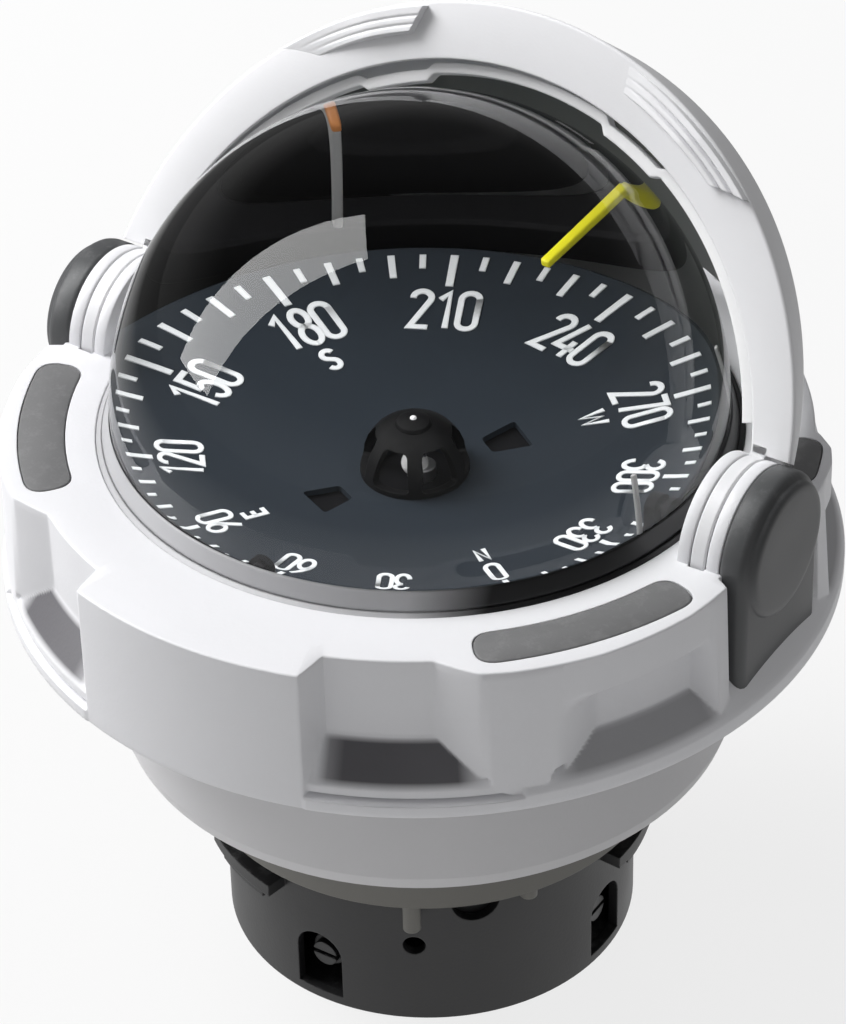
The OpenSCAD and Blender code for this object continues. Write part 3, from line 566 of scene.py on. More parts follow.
def kidney(start, stop, low, high, lip=0.0, shrink=0.0):
    # rounded outline in (arc length, radius), bent round Z and carried from low to high with a soft top edge
    mid, perCorner = insertShape["bendR"], 9
    s0, s1 = math.radians(start) * mid + shrink, math.radians(stop) * mid - shrink
    near, far = insertShape["inner"] + shrink, insertShape["outer"] - shrink
    core = softProfile([(s0, near), (s1, near), (s1, far), (s0, far)], insertShape["corner"], perCorner)
    outline = []
    for i, between in enumerate((22, 4, 22, 4)):
        bend = core[i * perCorner:(i + 1) * perCorner]
        after = core[(i + 1) * perCorner % len(core)]
        along = np.linspace(0, 1, between + 2)[1:-1, None]
        outline += [bend, bend[-1] + (after - bend[-1]) * along]
    flat = np.concatenate(outline)
    centre = flat.mean(0)
    steps = [(0, low), (0, high)]
    if lip:
        steps = [(0, low), (0, high - lip), (lip * 0.3, high - lip * 0.3), (lip, high)]
    loops = []
    for inset, z in steps:
        p = centre + (flat - centre) * (1 - inset / np.array(insertShape["halfSize"]))
        a = p[:, 0] / mid
        loops.append(np.stack([p[:, 1] * np.cos(a), p[:, 1] * np.sin(a), np.full(len(p), z)], -1))
    return lofted(loops)


def flipped(shape, x, y):
    # the same shape on another quarter
    points, faces = shape
    return points * np.array([x, y, 1.0]), [list(f)[::-1] if x * y < 0 else list(f) for f in faces]


def shadeFloors(piece):
    # attribute shade, for painted shade: 1 on the sloping floors of the recesses, less on those of the
    # pockets, 0 elsewhere
    mesh, f = piece.data, floorShade
    n = len(mesh.vertices)
    points, normal = np.empty(3 * n), np.empty(3 * n)
    mesh.vertices.foreach_get("co", points)
    mesh.vertex_normals.foreach_get("vector", normal)
    x, y, z = points.reshape(-1, 3).T * 1000
    z = z - layout["domeZ"]
    radius = np.hypot(x, y)
    t = np.degrees(np.arctan2(np.abs(x), np.abs(y)))
    ramp = lambda value, ends: np.clip((value - ends[0]) / (ends[1] - ends[0]), 0, 1)
    within = lambda value, pair: ramp(value, pair[0]) * ramp(value, pair[1])
    facing = ramp(normal.reshape(-1, 3)[:, 2], f["facing"])
    floor = within(z, f["height"]) * within(radius, f["radius"]) * facing
    recess = within(t, f["recess"]) * ramp(z, f["recessFoot"])
    pocket = within(t, f["pocket"]) * f["pocketShare"]
    shade = mesh.attributes.new("shade", "FLOAT", "POINT")
    shade.data.foreach_set("value", (floor * np.maximum(recess, pocket)).astype(np.float32))


def makeDeck():
    # the ring, its four dark inserts in their seats, and the slots where the hood's ears pass
    top, s = layout["deckTop"], insertShape
    piece = makePiece("deckRing", deckShape(), "deckWhite", "housing", ["deck_flange"])
    cutters = []
    for y, end in ((1, "aft"), (-1, "fore")):
        for x, side in ((1, "starboard"), (-1, "port")):
            start, stop = 270 + s[end][0], 270 + s[end][1]
            seat = kidney(start, stop, top - s["deep"], top + 2)
            plate = kidney(start, stop, top - s["deep"] - 0.05, top + s["proud"], s["lip"], s["gap"])
            cutters.append(flipped(seat, x, y))
            nodeName = "insert_%s_%s" % (end, side)
            makePiece("plate_" + nodeName, flipped(plate, x, y), "insertGrey", "housing", [nodeName])
    half, deep = deck["hingeHalf"], deck["hingeDepth"]
    slot = softProfile([(-half, -deep), (half, -deep), (half, deep), (-half, deep)], 1.0, 3)
    cutters += [acrossHinge(side, [slot, slot], deck["hingeGap"]) for side in (-1, 1)]
    cutBy(piece, cutters)
    shadeFloors(piece)
    print("deck ring:", len(piece.data.polygons), "faces")


makeDeck()

# hood, its ledge and the two grip pads; w is the angle behind the leaning face plane

hood = {
    "lean": 31.8, "inner": 81.2, "innerRise": 0.8, "outX": 90.2, "outY": 92.6, "shift": 3.0, "endRho": 17.9,
    "shellIn": 80.9, "shellOut": 83.7, "groove": 83.9, "rimBack": 11.5, "wrap": 50.0,
    "earX": (79.3, 82.8), "earR": 17.0, "wedgeR": 19.5, "shadeFrom": 21,
}
ledge = {"inner": 78.2, "outer": 81.1, "at": (2.2, 4.8), "reach": 73, "notchAt": 23.0, "notchHalf": 6.0,
         "notchDeep": 1.7, "tabAngle": (4.5, 12.5), "tabR": (79.2, 80.95), "tabAt": (10.5, 14.5)}
pads = {
    "inner": 87.9, "outer": 94.3, "slimmer": 0.9, "grooves": (0.3, 0.62), "grooveWide": 0.045,
    "grip_starboard": {"start": (17.5, 16.0), "stop": (36.9, 42.1), "lift": 1.9, "grooveDeep": 0.7},
    "grip_port": {"start": (-34.8, -40.2), "stop": (-18.6, -16.2), "lift": 2.6, "grooveDeep": 0.12},
}


def hoodPoint(x, rho, w):
    # the face plane leans from the vertical by lean, and w turns on behind it about the hinge line
    a = np.radians(hood["lean"] + w)
    return np.stack([x, rho * np.sin(a), rho * np.cos(a) + layout["hingeZ"]], -1)


def hoodEdge(kind, f, add=0.0):
    # the outer edge is the ellipse outX sin u, shift + outY cos u; the others are circles r sin a, r cos a
    h = hood
    if kind == "outer":
        u = f * math.acos((h["endRho"] - h["shift"]) / h["outY"])
        return (h["outX"] + add) * np.sin(u), h["shift"] + (h["outY"] + add) * np.cos(u)
    r = (h["inner"] + 0.2 if kind == "behind" else h[kind]) + add
    a = f * math.acos(h["endRho"] / r)
    if kind in ("inner", "behind", "groove"):
        r = r + h["innerRise"] * np.cos(a) ** 2
    return r * np.sin(a), r * np.cos(a)


def shadeInside(piece, within, behind):
    # inward faces nearer the hinge's middle than the radius and past the angle get the darker colour
    # hoodPaintedShade, painted shade
    centre, normal = faceData(piece.data)
    centre = centre - np.array([0, 0, layout["hingeZ"]])
    radius = np.linalg.norm(centre, axis=1)
    turn = np.degrees(np.arctan2(centre[:, 1], centre[:, 2])) - hood["lean"]
    inwards = (normal * centre).sum(1) / radius < -0.5
    clear = np.hypot(centre[:, 1], centre[:, 2]) > hood["shadeFrom"]
    piece.data.materials.append(materials["hoodPaintedShade"])
    chosen = inwards & (radius < within) & (turn > behind) & clear
    piece.data.polygons.foreach_set("material_index", chosen.astype(np.int32))


def makeArch():
    # one section carried from ear to ear, with a wedge and a round ear at each end
    h = hood
    f = np.linspace(-1, 1, 181)
    corners = [("inner", 0), ("outer", 0), ("outer", h["rimBack"]), ("shellOut", h["rimBack"] + 0.8),
               ("shellOut", h["wrap"]), ("shellIn", h["wrap"]), ("shellIn", 8.5), ("groove", 4.9),
               ("groove", 2.6), ("behind", 1.6)]
    radii = [0.5, 0.9, 1.3, 0.8, 0.7, 0.7, 0.4, 0.5, 0.5, 0.5]
    grid = []
    for kind, w in corners:
        x, rho = hoodEdge(kind, f, -0.25 if (kind, w) == ("outer", h["rimBack"]) else 0.0)
        grid.append(hoodPoint(x, rho, w + 0 * f))
    shapes = [lofted(softProfile(np.stack(grid, 1), radii, 5))]
    wedge = np.radians(np.linspace(0, h["wrap"], 12) + h["lean"])
    neck = np.concatenate([h["wedgeR"] * np.stack([np.sin(wedge), np.cos(wedge)], -1), [[0, 0]]])
    x0, x1 = h["earX"]
    steps = (x0, x0 + 0.3, x1 - 0.3, x1)
    for side in (-1, 1):
        for flat in (neck, circle(h["earR"], 5)):
            shapes.append(acrossHinge(side, [flat * s for s in (0.985, 1, 1, 0.985)], steps))
    arch = makePiece("hoodArch", joined(*shapes), "hoodWhite", "hood", ["hood_shell"])
    shadeInside(arch, 82.4, 3.0)


def makeLedge():
    # runs at one radius, steps inwards over the two latch places, and has one small tab further back
    q = ledge
    a = np.linspace(-q["reach"], q["reach"], 293)
    step = np.clip((q["notchHalf"] + 0.8 - np.abs(np.abs(a) - q["notchAt"])) / 1.2, 0, 1)
    lo = q["inner"] + 0.8 * np.cos(np.radians(a)) - q["notchDeep"] * step
    hi = q["outer"] + 0.4 * np.cos(np.radians(a)) - 1.4 * step

    def strip(angle, corners, radii, steps):
        # a bar along the angles, with the corners of its section as (radius, angle behind the face)
        rad = np.radians(angle)
        grid = [hoodPoint(r * np.sin(rad), r * np.cos(rad), w + 0 * rad) for r, w in corners]
        return lofted(softProfile(np.stack(grid, 1), radii, steps))

    w0, w1 = q["at"]
    strips = [strip(a, ((lo, w0), (hi, w0), (hi, w1), (lo, w1)), [0.5, 0.3, 0.3, 0.5], 4)]
    (r0, r1), (w0, w1) = q["tabR"], q["tabAt"]
    strips.append(strip(np.linspace(*q["tabAngle"], 9), ((r0, w0), (r1, w0), (r1, w1), (r0, w1)), 0.3, 3))
    makePiece("hoodLedge", joined(*strips), "ledgeLitWhite", "hood", ["hood_ledge"])


def makePads():
    # each grip pad rises clockwise from nothing to its end step, with two grooves along it
    lean = np.radians(hood["lean"])
    out = np.array([0, -math.cos(lean), math.sin(lean)])
    across, along = np.linspace(0, 1, 41)[None], np.linspace(0, 1, 60)[:, None]
    for name in ("grip_starboard", "grip_port"):
        q = pads[name]
        first = q["start"][0] + (q["start"][1] - q["start"][0]) * across
        last = q["stop"][0] + (q["stop"][1] - q["stop"][0]) * across
        ang = np.radians(first + (last - first) * along)
        outer = pads["outer"] - pads["slimmer"] * np.abs(np.degrees(ang)) / 40
        r = pads["inner"] + (outer - pads["inner"]) * across
        waves = sum(np.exp(-((across - c) / pads["grooveWide"]) ** 2) for c in pads["grooves"])
        edge = np.clip(across / 0.03, 0, 1) ** 0.5 * np.clip((1 - across) / 0.05, 0, 1) ** 0.5
        rise = q["lift"] * np.clip(along / 0.6, 0, 1) * (1 - q["grooveDeep"] * waves) * edge
        face = hoodPoint(r * np.sin(ang), r * np.cos(ang), 0 * r)
        front, back = face + (rise - 0.02)[..., None] * out, face - 0.5 * out
        shape = lofted(np.concatenate([front, back[:, ::-1]], 1))
        pad = makePiece("pad_" + name, shape, "hoodWhite", "hood", [name], 40)
        shadeInside(pad, 88.6, 0.0)


makeArch()
makeLedge()
makePads()
print("hood ready")

# hinge brackets and the fixed discs of the hinge stacks

stack = {"inner": (76.0, 79.0), "outer": (83.15, 86.25), "discR": 17.1,
         "discEdge": [(0.0, -0.35), (0.12, -0.1), (0.4, 0.0)],
         "bracket": (86.35, 92.9), "headR": 17.2, "low": 103.6, "legHalf": 17.4, "middle": (0, -7.0),
         "backEdge": [(0.0, 0.5), (0.5, 0.1), (1.0, 0.0)],
         "frontEdge": [(2.2, 0.0), (1.3, 0.25), (0.6, 0.8), (0.15, 1.7), (0.0, 2.6)],
         "face": 94.4, "faceR": 15.8,
         "faceEdge": [(-0.9, -0.3), (-0.35, -0.75), (-0.08, -1.5), (0.0, -2.6), (0.02, -9)]}


def discStack(side, radius, steps):
    # circles about the hinge line at each (x, change of radius)
    circles = [circle(radius + change, 3.0) for x, change in steps]
    return acrossHinge(side, circles, [x for x, change in steps])


def bracketOutline():
    # a half circle over two straight legs with a soft-cornered foot
    s = stack
    a = np.radians(np.linspace(0, 180, 61))
    head = s["headR"] * np.stack([np.cos(a), np.sin(a)], -1)
    drop, wide = s["low"] - layout["hingeZ"], s["legHalf"]
    legs = [(-s["headR"], -0.1), (-wide, drop), (wide, drop), (s["headR"], -0.1)]
    legs = softProfile(legs, [0, 0.5, 0.5, 0], 5, closed=False)[5:-5]
    down = np.linspace(0, 1, 14)[1:-1, None]
    left = head[-1] + (legs[0] - head[-1]) * down
    right = legs[-1] + (head[0] - legs[-1]) * down
    return np.concatenate([head, left, legs, right])


def makeHinges():
    # on each side two thin discs, and outside them the bracket with its raised round face
    s = stack
    x0, x1 = s["bracket"]
    flat, middle = bracketOutline(), np.array(s["middle"])
    size = np.abs(flat - middle).max(0)
    steps = [(x0 + x, inset) for x, inset in s["backEdge"]] + [(x1 - x, inset) for x, inset in s["frontEdge"]]
    outlines = [middle + (flat - middle) * (1 - inset / size) for x, inset in steps]
    face = [(x1 - 0.6, 0.25), (x1 - 0.15, 0.0)] + [(s["face"] + x, change) for x, change in s["faceEdge"]]
    for side, name in ((1, "starboard"), (-1, "port")):
        for part in ("inner", "outer"):
            d0, d1 = s[part]
            edges = [(d0 + x, change) for x, change in s["discEdge"]]
            edges += [(d1 - x, change) for x, change in s["discEdge"][::-1]]
            label = part + "_" + name
            shape = discStack(side, s["discR"], edges)
            makePiece("halfDisc_" + label, shape, "deckWhite", "housing", ["disc_" + label])
        body = acrossHinge(side, outlines, [x for x, inset in steps])
        raised = discStack(side, s["faceR"], face)
        makePiece("hingeCap_" + name, joined(body, raised), "bracketGrey", "housing", ["bracket_" + name])
    print("hinges ready")


makeHinges()

# clear dome filled with liquid, seen as one refracting body, a grey ring at its foot carrying a painted
# reflection of the deck, and the bowl wall under it with a painted lit band

dome = {
    "flare": [(70.05, -1.2), (70.15, -2.0), (70.5, -3.2), (71.1, -4.2), (71.9, -4.95), (72.7, -5.35),
              (73.2, -5.6), (73.3, -6.0)],
    "seat": [(73.3, -8.6), (69.3, -8.7), (68.6, -9.4), (68.4, -14.0)],
    "footGap": 0.15, "footTop": -0.5, "footLow": -8.4,
    "bowlIn": 66.6, "bowlOut": 69.4, "bowlLip": [(69.2, -9.6), (67.8, -9.9), (67.5, -14.2)],
    "bowlFlange": [(74.4, -17.9), (74.4, -15.0), (70.6, -14.8), (70.6, -9.8)],
}


def makeDome():
    # quarter circle, flare, foot and the liquid's lower surface are one closed profile
    lift = layout["domeZ"]
    polar = lambda radius, a: radius * np.stack([np.sin(a), np.cos(a)], -1)
    cap = polar(layout["domeR"], np.radians(np.linspace(0, 90.5, 62)))
    under = polar(dome["bowlIn"] + 0.8, np.radians(np.linspace(104, 180, 40)))
    foot = np.array(dome["flare"]) + np.array([dome["footGap"], 0.0])
    (x0, _), (x1, z1) = foot[0], foot[-1]
    low = dome["footLow"]
    above, below = [(x0 - 0.02, dome["footTop"])], [(x1 + 0.3, z1 - 0.2), (x1 + 0.3, low), (x1 + 0.05, low)]
    foot = np.concatenate([above, foot, below])
    # painted reflection: a grey ring round the flare that stands for no part of the compass
    makePiece("domeFootReflection", revolved(foot, 240, lift), "footReflection", "housing", ())

    profile = np.concatenate([cap, dome["flare"], dome["seat"], under])
    profile[[0, -1], 0] = 0.0
    points, faces = revolved(profile, 240, lift)
    onAxis = faces[:, 0] % len(profile) == len(profile) - 1
    makePiece("domeLiquid", (points, faces[~onAxis]), "domeClear", "housing", ["dome"], 60)

    low = np.radians(np.linspace(103.5, 161, 40))
    inner, outer = polar(dome["bowlIn"], low), polar(dome["bowlOut"], low)[::-1]
    wall = np.concatenate([dome["bowlLip"], inner, outer, dome["bowlFlange"]])
    makePiece("bowlWall", revolved(wall, 180, lift), "bowlDark", "housing", ["bowl"], 40)
    print("dome ready")


makeDome()

# compass card with its marks and hub; bearings are degrees clockwise from the bow

card = {
    "top": 131.0, "r": 46.5, "thick": 1.0, "bore": 6.5, "bowHeading": 236.0, "raise": 0.14,
    "tickOut": 45.0, "long": (39.8, 1.0), "medium": (41.3, 0.9), "short": (42.8, 0.82),
    "numeralAt": 35.3, "numeralHigh": 6.7, "numeralStep": 0.465, "stroke": 0.86,
    "letterAt": 28.2, "letterHigh": 3.8, "letterWide": 1.25, "letterStroke": 0.8,
    "pivotZ": 138.0, "dip": (1.57, -3.6), "sway": (-0.7, -0.9, 0),
    "windowAt": (30, 210), "window": [(-2.0, 12.0), (-3.4, 18.0), (3.4, 18.0), (2.0, 12.0)],
    "magnetY": (-10.0, 10.0), "magnetHalf": 20.0, "magnetR": 1.7, "magnetDrop": 4.6,
}
hub = {
    "shell": [(8.3, 0), (8.3, 1.2), (8.1, 3.0), (7.4, 5.0), (6.2, 6.8), (4.6, 8.1), (3.4, 8.6), (2.2, 8.8),
              (2.2, 7.6), (3.4, 7.3), (4.9, 6.3), (6.0, 4.8), (6.7, 2.9), (7.0, 1.2), (7.0, 0)],
    "window": [(-3.5, 0.9), (3.5, 0.9), (2.7, 7.0), (-2.7, 7.0)], "firstWindow": 177,
    "windowDepth": ((4.0, 0.6), (10, 1.15)),
    "cap": [(0, 8.4), (2.7, 8.4), (2.85, 8.7), (2.6, 9.3), (1.8, 9.7), (0.75, 9.8), (0, 9.8)],
    "ball": (2.1, 2.1, 1.3), "capGlint": (0.55, 0.45, 9.75),
    "floor": [(0, -1.6), (46.0, -1.6), (46.0, -1.2), (7.0, -1.15), (6.0, -1.0), (0, -0.9)],
}


def arc(cx, cy, rx, ry, a0, a1, count=14):
    # points cx + rx cos a, cy + ry sin a
    a = np.radians(np.linspace(a0, a1, count))
    return np.stack([cx + rx * np.cos(a), cy + ry * np.sin(a)], -1)


def glyphs():
    # centre lines of plain condensed figures in a box one unit high, with x from -0.2 to 0.2
    w = 0.175
    line = lambda *pts: np.array(pts, float)
    join = lambda *paths: np.concatenate(paths)
    middle = line((0.0, 0.545))
    return {
        "0": [join(arc(0, 1 - w, w, w, 0, 180), arc(0, w, w, w, 180, 360), line((w, 1 - w)))],
        "1": [line((-0.11, 0.8), (0.06, 0.985), (0.06, 0))],
        "2": [join(arc(0, 1 - w, w, w, 185, -22), line((-w, 0.0), (w + 0.01, 0.0)))],
        "3": [join(arc(0, 0.79, w * 0.95, 0.21, 172, -62), middle),
              join(middle, arc(0, 0.27, w, 0.27, 62, -172))],
        "4": [line((0.0, 1), (-w - 0.03, 0.27), (w + 0.04, 0.27)), line((0.09, 0.5), (0.09, 0))],
        "5": [join(line((w, 1), (-w + 0.03, 1), (-w + 0.01, 0.54)), arc(0, 0.3, w, 0.3, 128, -160))],
        "6": [join(line((0.1, 1), (-w + 0.02, 0.46)), arc(0, 0.27, w, 0.27, 168, 528, 28))],
        "7": [line((-w, 1), (w, 1), (-0.05, 0))],
        "8": [arc(0, 0.77, w * 0.88, 0.23, -90, 270, 28), arc(0, 0.27, w, 0.27, -90, 270, 28)],
        "9": [join(line((-0.1, 0), (w - 0.02, 0.54)), arc(0, 0.73, w, 0.27, -12, 348, 28))],
        "N": [line((-w, 0), (-w, 1), (w, 0), (w, 1))],
        "E": [line((w, 1), (-w, 1), (-w, 0), (w, 0)), line((-w, 0.52), (w - 0.05, 0.52))],
        "S": [join(arc(0, 0.77, w, 0.23, 25, 235), arc(0, 0.25, w, 0.25, 55, -155))],
        "W": [line((-0.3, 1), (-0.16, 0.02), (0, 0.82), (0.16, 0.02), (0.3, 1))],
    }


def ribbon(path, width, z0, z1):
    # a flat bar along the path: each corner moves sideways by width / 2 along the mitre of its two legs
    p = np.asarray(path, float)
    keep = np.concatenate([[True], np.linalg.norm(np.diff(p, axis=0), axis=1) > 1e-4])
    p = p[keep]
    d = np.diff(p, axis=0)
    d /= np.linalg.norm(d, axis=1, keepdims=True)
    before, after = np.concatenate([d[:1], d]), np.concatenate([d, d[-1:]])
    if np.linalg.norm(p[0] - p[-1]) < 1e-3:
        before[0], after[-1] = d[-1], d[0]
    n0, n1 = (np.stack([-v[:, 1], v[:, 0]], -1) for v in (before, after))
    m = n0 + n1
    m = m / np.maximum((m * n1).sum(1, keepdims=True), 0.5)
    left, right = p + m * width / 2, p - m * width / 2
    level = lambda q, z: np.concatenate([q, np.full((len(q), 1), z)], 1)
    return lofted(np.stack([level(left, z1), level(right, z1), level(right, z0), level(left, z0)], 1))


def turned(shape, bearing, radius=0.0, high=1.0, shiftX=0.0, middle=0.0):
    # figure coordinates to the card: x clockwise and y outwards at that bearing, scaled to the height
    points, faces = shape
    across, out = points[:, 0] * high + shiftX, radius + (points[:, 1] - middle) * high
    return atBearing(bearing, across, out, points[:, 2]), faces


def dipped(shape):
    # the card hangs a little low: a turn about the pivot takes Z to (sin a, sin b, 1), normalised
    points, faces = shape
    a, b = (math.radians(d) for d in card["dip"])
    lean = Vector((math.sin(a), math.sin(b), 1)).normalized()
    turn = np.array(Vector((0, 0, 1)).rotation_difference(lean).to_matrix())
    pivot = np.array([0, 0, card["pivotZ"]])
    return (np.asarray(points) - pivot) @ turn.T + pivot + np.array(card["sway"]), faces


def makeDisc():
    # the black plate with its two trapezoid windows
    top, r, t = card["top"], card["r"], card["thick"]
    plate = [(card["bore"], top - t), (card["bore"], top), (r - 1.6, top), (r - 0.35, top - 0.02),
             (r, top - 0.3), (r, top - t + 0.3), (r - 0.3, top - t)]
    shape = dipped(revolved(plate, 240))
    piece = makePiece("cardDisc", shape, "cardBlack", "card", ["card_plate"])
    hole = softProfile(card["window"], 0.7, 4)
    level = lambda z: np.concatenate([hole, np.full((len(hole), 1), z)], 1)
    cutter = lofted([level(top - 3), level(top + 1)])
    cutBy(piece, [dipped(turned(cutter, a)) for a in card["windowAt"]])


def makeMarks():
    # a mark every five degrees, figures every thirty and the four letters
    c = card
    z0, z1 = c["top"] - 0.05, c["top"] + c["raise"]
    marks, table = [], glyphs()
    for i in range(72):
        low, wide = c["long"] if i % 6 == 0 else c["medium"] if i % 2 == 0 else c["short"]
        marks.append(turned(ribbon([(0, low), (0, c["tickOut"])], wide, z0, z1), 5 * i - c["bowHeading"]))
    high = c["numeralHigh"]
    for value in range(0, 360, 30):
        text = str(value)
        for place, figure in enumerate(text):
            shift = (place - (len(text) - 1) / 2) * c["numeralStep"] * high
            for path in table[figure]:
                stroke = ribbon(path, c["stroke"] / high, z0, z1)
                marks.append(turned(stroke, value - c["bowHeading"], c["numeralAt"], high, shift, 0.5))
    high = c["letterHigh"]
    for value, letter in ((0, "N"), (90, "E"), (180, "S"), (270, "W")):
        for path in table[letter]:
            stroke = ribbon(path * np.array([c["letterWide"], 1.0]), c["letterStroke"] / high, z0, z1)
            marks.append(turned(stroke, value - c["bowHeading"], c["letterAt"], high, 0.0, 0.5))
    makePiece("cardMarks", dipped(joined(*marks)), "dialWhite", "card", ["card_ticks"])
    print("card marks:", len(marks))


def makeHub():
    # a cage of six ribs with a cap and a white bead over it, a painted highlight; inside, a white ball for
    # the pivot ball with its glint painted in, and a dark floor
    top = card["top"]
    cage = makePiece("hubCage", dipped(revolved(hub["shell"], 120, top)), "hubBlack", "card", ["hub_cage"])
    window = softProfile(hub["window"], 1.0, 4)
    cutters = []
    for k in range(6):
        bearing = 60 * k + hub["firstWindow"]
        loops = []
        for out, wider in hub["windowDepth"]:
            loops.append(atBearing(bearing, window[:, 0] * wider, out, window[:, 1] + top))
        cutters.append(dipped(lofted(loops)))
    cutBy(cage, cutters)
    cap = dipped(revolved(hub["cap"], 72, top))
    makePiece("hubTop", cap, "hubBlack", "card", ["hub_cap"])
    a = np.radians(np.linspace(-90, 90, 13))
    beads = []
    for wide, high, middle in (hub["ball"], hub["capGlint"]):
        bead = np.stack([wide * np.cos(a), middle + high * np.sin(a)], -1)
        bead[[0, -1], 0] = 0.0
        beads.append(revolved(bead, 48, top))
    makePiece("hubGlints", dipped(joined(*beads)), "glintWhite", "card", ["jewel_cup"])
    makePiece("hubFloor", dipped(revolved(hub["floor"], 180, top)), "ringBlack", "card", ())


def makeMagnets():
    # two round rods under the card
    c = card
    rim = circle(c["magnetR"], 15) + np.array([0, c["top"] - c["magnetDrop"]])
    rods = []
    for y in c["magnetY"]:
        ends = [np.full(len(rim), x) for x in (-c["magnetHalf"], c["magnetHalf"])]
        rods.append(lofted([np.stack([x, y + rim[:, 0], rim[:, 1]], -1) for x in ends]))
    makePiece("magnetRods", dipped(joined(*rods)), "magnetIron", "card", ["magnets"])
    print("card ready")


makeDisc()
makeMarks()
makeHub()
makeMagnets()

# gimbal band, inner ring and the lubbers that stand on it

rings = {"axisZ": 138.6, "soft": 0.4, "gimbal": (57.5, 60.5, 130.3, 135.1),
         "frame": (51.0, 55.0, 129.1, 133.5), "earHalf": 2.6, "earHigh": 2.3, "earFoot": 3.6,
         "armAt": (45, 135, 225, 315), "armHalf": 2.4, "armZ": (120.6, 123.1), "armR": (4.0, 53.6),
         "legR": (51.4, 53.6),
         "boss": [(0, 118.6), (6.6, 118.6), (7.0, 119.0), (7.0, 124.2), (6.6, 124.6), (0, 124.6)]}
lubber = {"foot": 53.0, "footZ": 132.8, "bowTop": 47.0, "top": 147.6, "arm": 32.6, "side": 50.5,
          "sideTop": 147.0, "bearings": (-85.5, -43.3, 46.7, 94.5), "tipOn": 1, "tipHigh": 0.9}


def bar(a, b, wide, high, corner=0.25):
    # a slim bar from a to b with a soft-cornered section, wide sideways and high upwards or outwards
    a, b = np.asarray(a, float), np.asarray(b, float)
    d = (b - a) / np.linalg.norm(b - a)
    side = np.cross(d, [0, 0, 1.0])
    if np.linalg.norm(side) < 0.5:
        flat = np.array([a[0], a[1], 0])
        side = np.cross([0, 0, 1.0], flat / np.linalg.norm(flat))
    side /= np.linalg.norm(side)
    other = np.cross(side, d)
    w, h = wide / 2, high / 2
    section = softProfile([(-w, -h), (w, -h), (w, h), (-w, h)], corner, 3)
    ring = section[:, :1] * side + section[:, 1:] * other
    return lofted([a + ring * 0.7, a + d * 0.2 + ring, b - d * 0.2 + ring, b + ring * 0.7])


def band(inner, outer, low, high, ears):
    # a ring with softened edges and an ear at each bearing that reaches up round the pin
    q, e = rings, rings["soft"]
    section = [(inner, low + e), (inner + e, low), (outer - e, low), (outer, low + e), (outer, high - e),
               (outer - e, high), (inner + e, high), (inner, high - e)]
    shapes = [revolved(section, 180)]
    flat = arc(0, q["axisZ"], q["earHalf"], q["earHigh"], 0, 180, 13)
    flat = np.concatenate([flat, [(-q["earFoot"], low + 1), (q["earFoot"], low + 1)]])
    for bearing in ears:
        loops = [atBearing(bearing, flat[:, 0], r, flat[:, 1]) for r in (inner + 0.3, outer - 0.1)]
        shapes.append(lofted(loops))
    return joined(*shapes)


def makeRings():
    # the gimbal band, and the inner ring with its four arms and legs down to the boss
    q = rings
    shape = band(*q["gimbal"], (0, 90, 180, 270))
    makePiece("gimbalBand", shape, "ringBlack", "gimbal", ["gimbal_ring"], 40)
    shapes = [band(*q["frame"], (90, 270))]
    half = q["armHalf"]
    box = lambda low, high: softProfile([(-half, low), (half, low), (half, high), (-half, high)], 0.4, 3)
    arm, leg = box(*q["armZ"]), box(*q["legR"])
    for bearing in q["armAt"]:
        shapes.append(lofted([atBearing(bearing, arm[:, 0], r, arm[:, 1]) for r in q["armR"]]))
        ends = (q["armZ"][0] + 0.2, q["frame"][2] + 1.5)
        shapes.append(lofted([atBearing(bearing, leg[:, 0], leg[:, 1], z) for z in ends]))
    shapes.append(revolved(q["boss"], 72))
    makePiece("lubberRing", joined(*shapes), "ringBlack", "frame", ["lubber_frame"], 40)


def makeLubbers():
    # a yellow post and arm at the bow, and four pale posts, one with an amber tip
    q = lubber
    way = lambda bearing, r, z: atBearing(bearing, 0, r, z)
    post = bar(way(0, q["foot"], q["footZ"]), way(0, q["bowTop"], q["top"]), 1.5, 1.1)
    arm = bar(way(0, q["bowTop"] + 0.3, q["top"] - 0.1), way(0, q["arm"], q["top"] - 0.1), 1.5, 1.2)
    makePiece("lubberBow", joined(post, arm), "lubberYellow", "frame", ["lubber_bow"])
    side, sideTop = q["side"], q["sideTop"]
    posts = [bar(way(b, side + 1.2, q["footZ"]), way(b, side, sideTop), 1.1, 1.1) for b in q["bearings"]]
    makePiece("lubberSides", joined(*posts), "lubberPale", "frame", ["lubbers_side"])
    b = q["bearings"][q["tipOn"]]
    tip = bar(way(b, side, sideTop - 0.1), way(b, side - 0.1, sideTop + q["tipHigh"]), 1.2, 1.2)
    makePiece("lubberTip", tip, "tipAmber", "frame", ())
    print("rings and lubbers ready")


makeRings()
makeLubbers()

# camera: the photograph's own centre of view, found from the dome, the deck and the hinges

view = {
    "back": (0.45110583, -0.68559506, 0.57136936), "right": (0.84312995, 0.53730162, -0.02094879),
    "up": (-0.29263529, 0.49118874, 0.82042562), "far": 0.90544, "focalPixels": 4016.31,
    "offPixels": (3.06, -113.08), "longSide": 1024, "sensor": 36.0,
}
lamps = {
    "target": (0, 0, 0.12),
    "keyLamp": {"toward": (-0.72, -0.1, 0.68), "far": 1.6, "size": (1.0, 1.0), "power": 36.0,
                "along": (1, 0, 0), "unseen": ("glossy", "transmission")},
    "stripLamp": {"toward": (-0.68, -0.33, 0.65), "far": 1.2, "size": (1.62, 0.46), "power": 16.0,
                  "along": (-0.55, -0.43, -0.84), "unseen": ("diffuse", "transmission")},
}
studio = {"ambient": 0.3, "mirrorZ": (0.12, 0.4), "mirror": (0.2, 0.06), "floorHalf": 3.0, "floorZ": -0.0002,
          "floorColour": (0.65, 0.65, 0.65), "nearRange": (0.15, 0.7), "nearGlow": (0.9, 0.12),
          "farRange": (0.3, 1.2), "whiteShare": (0.8, 1.0)}


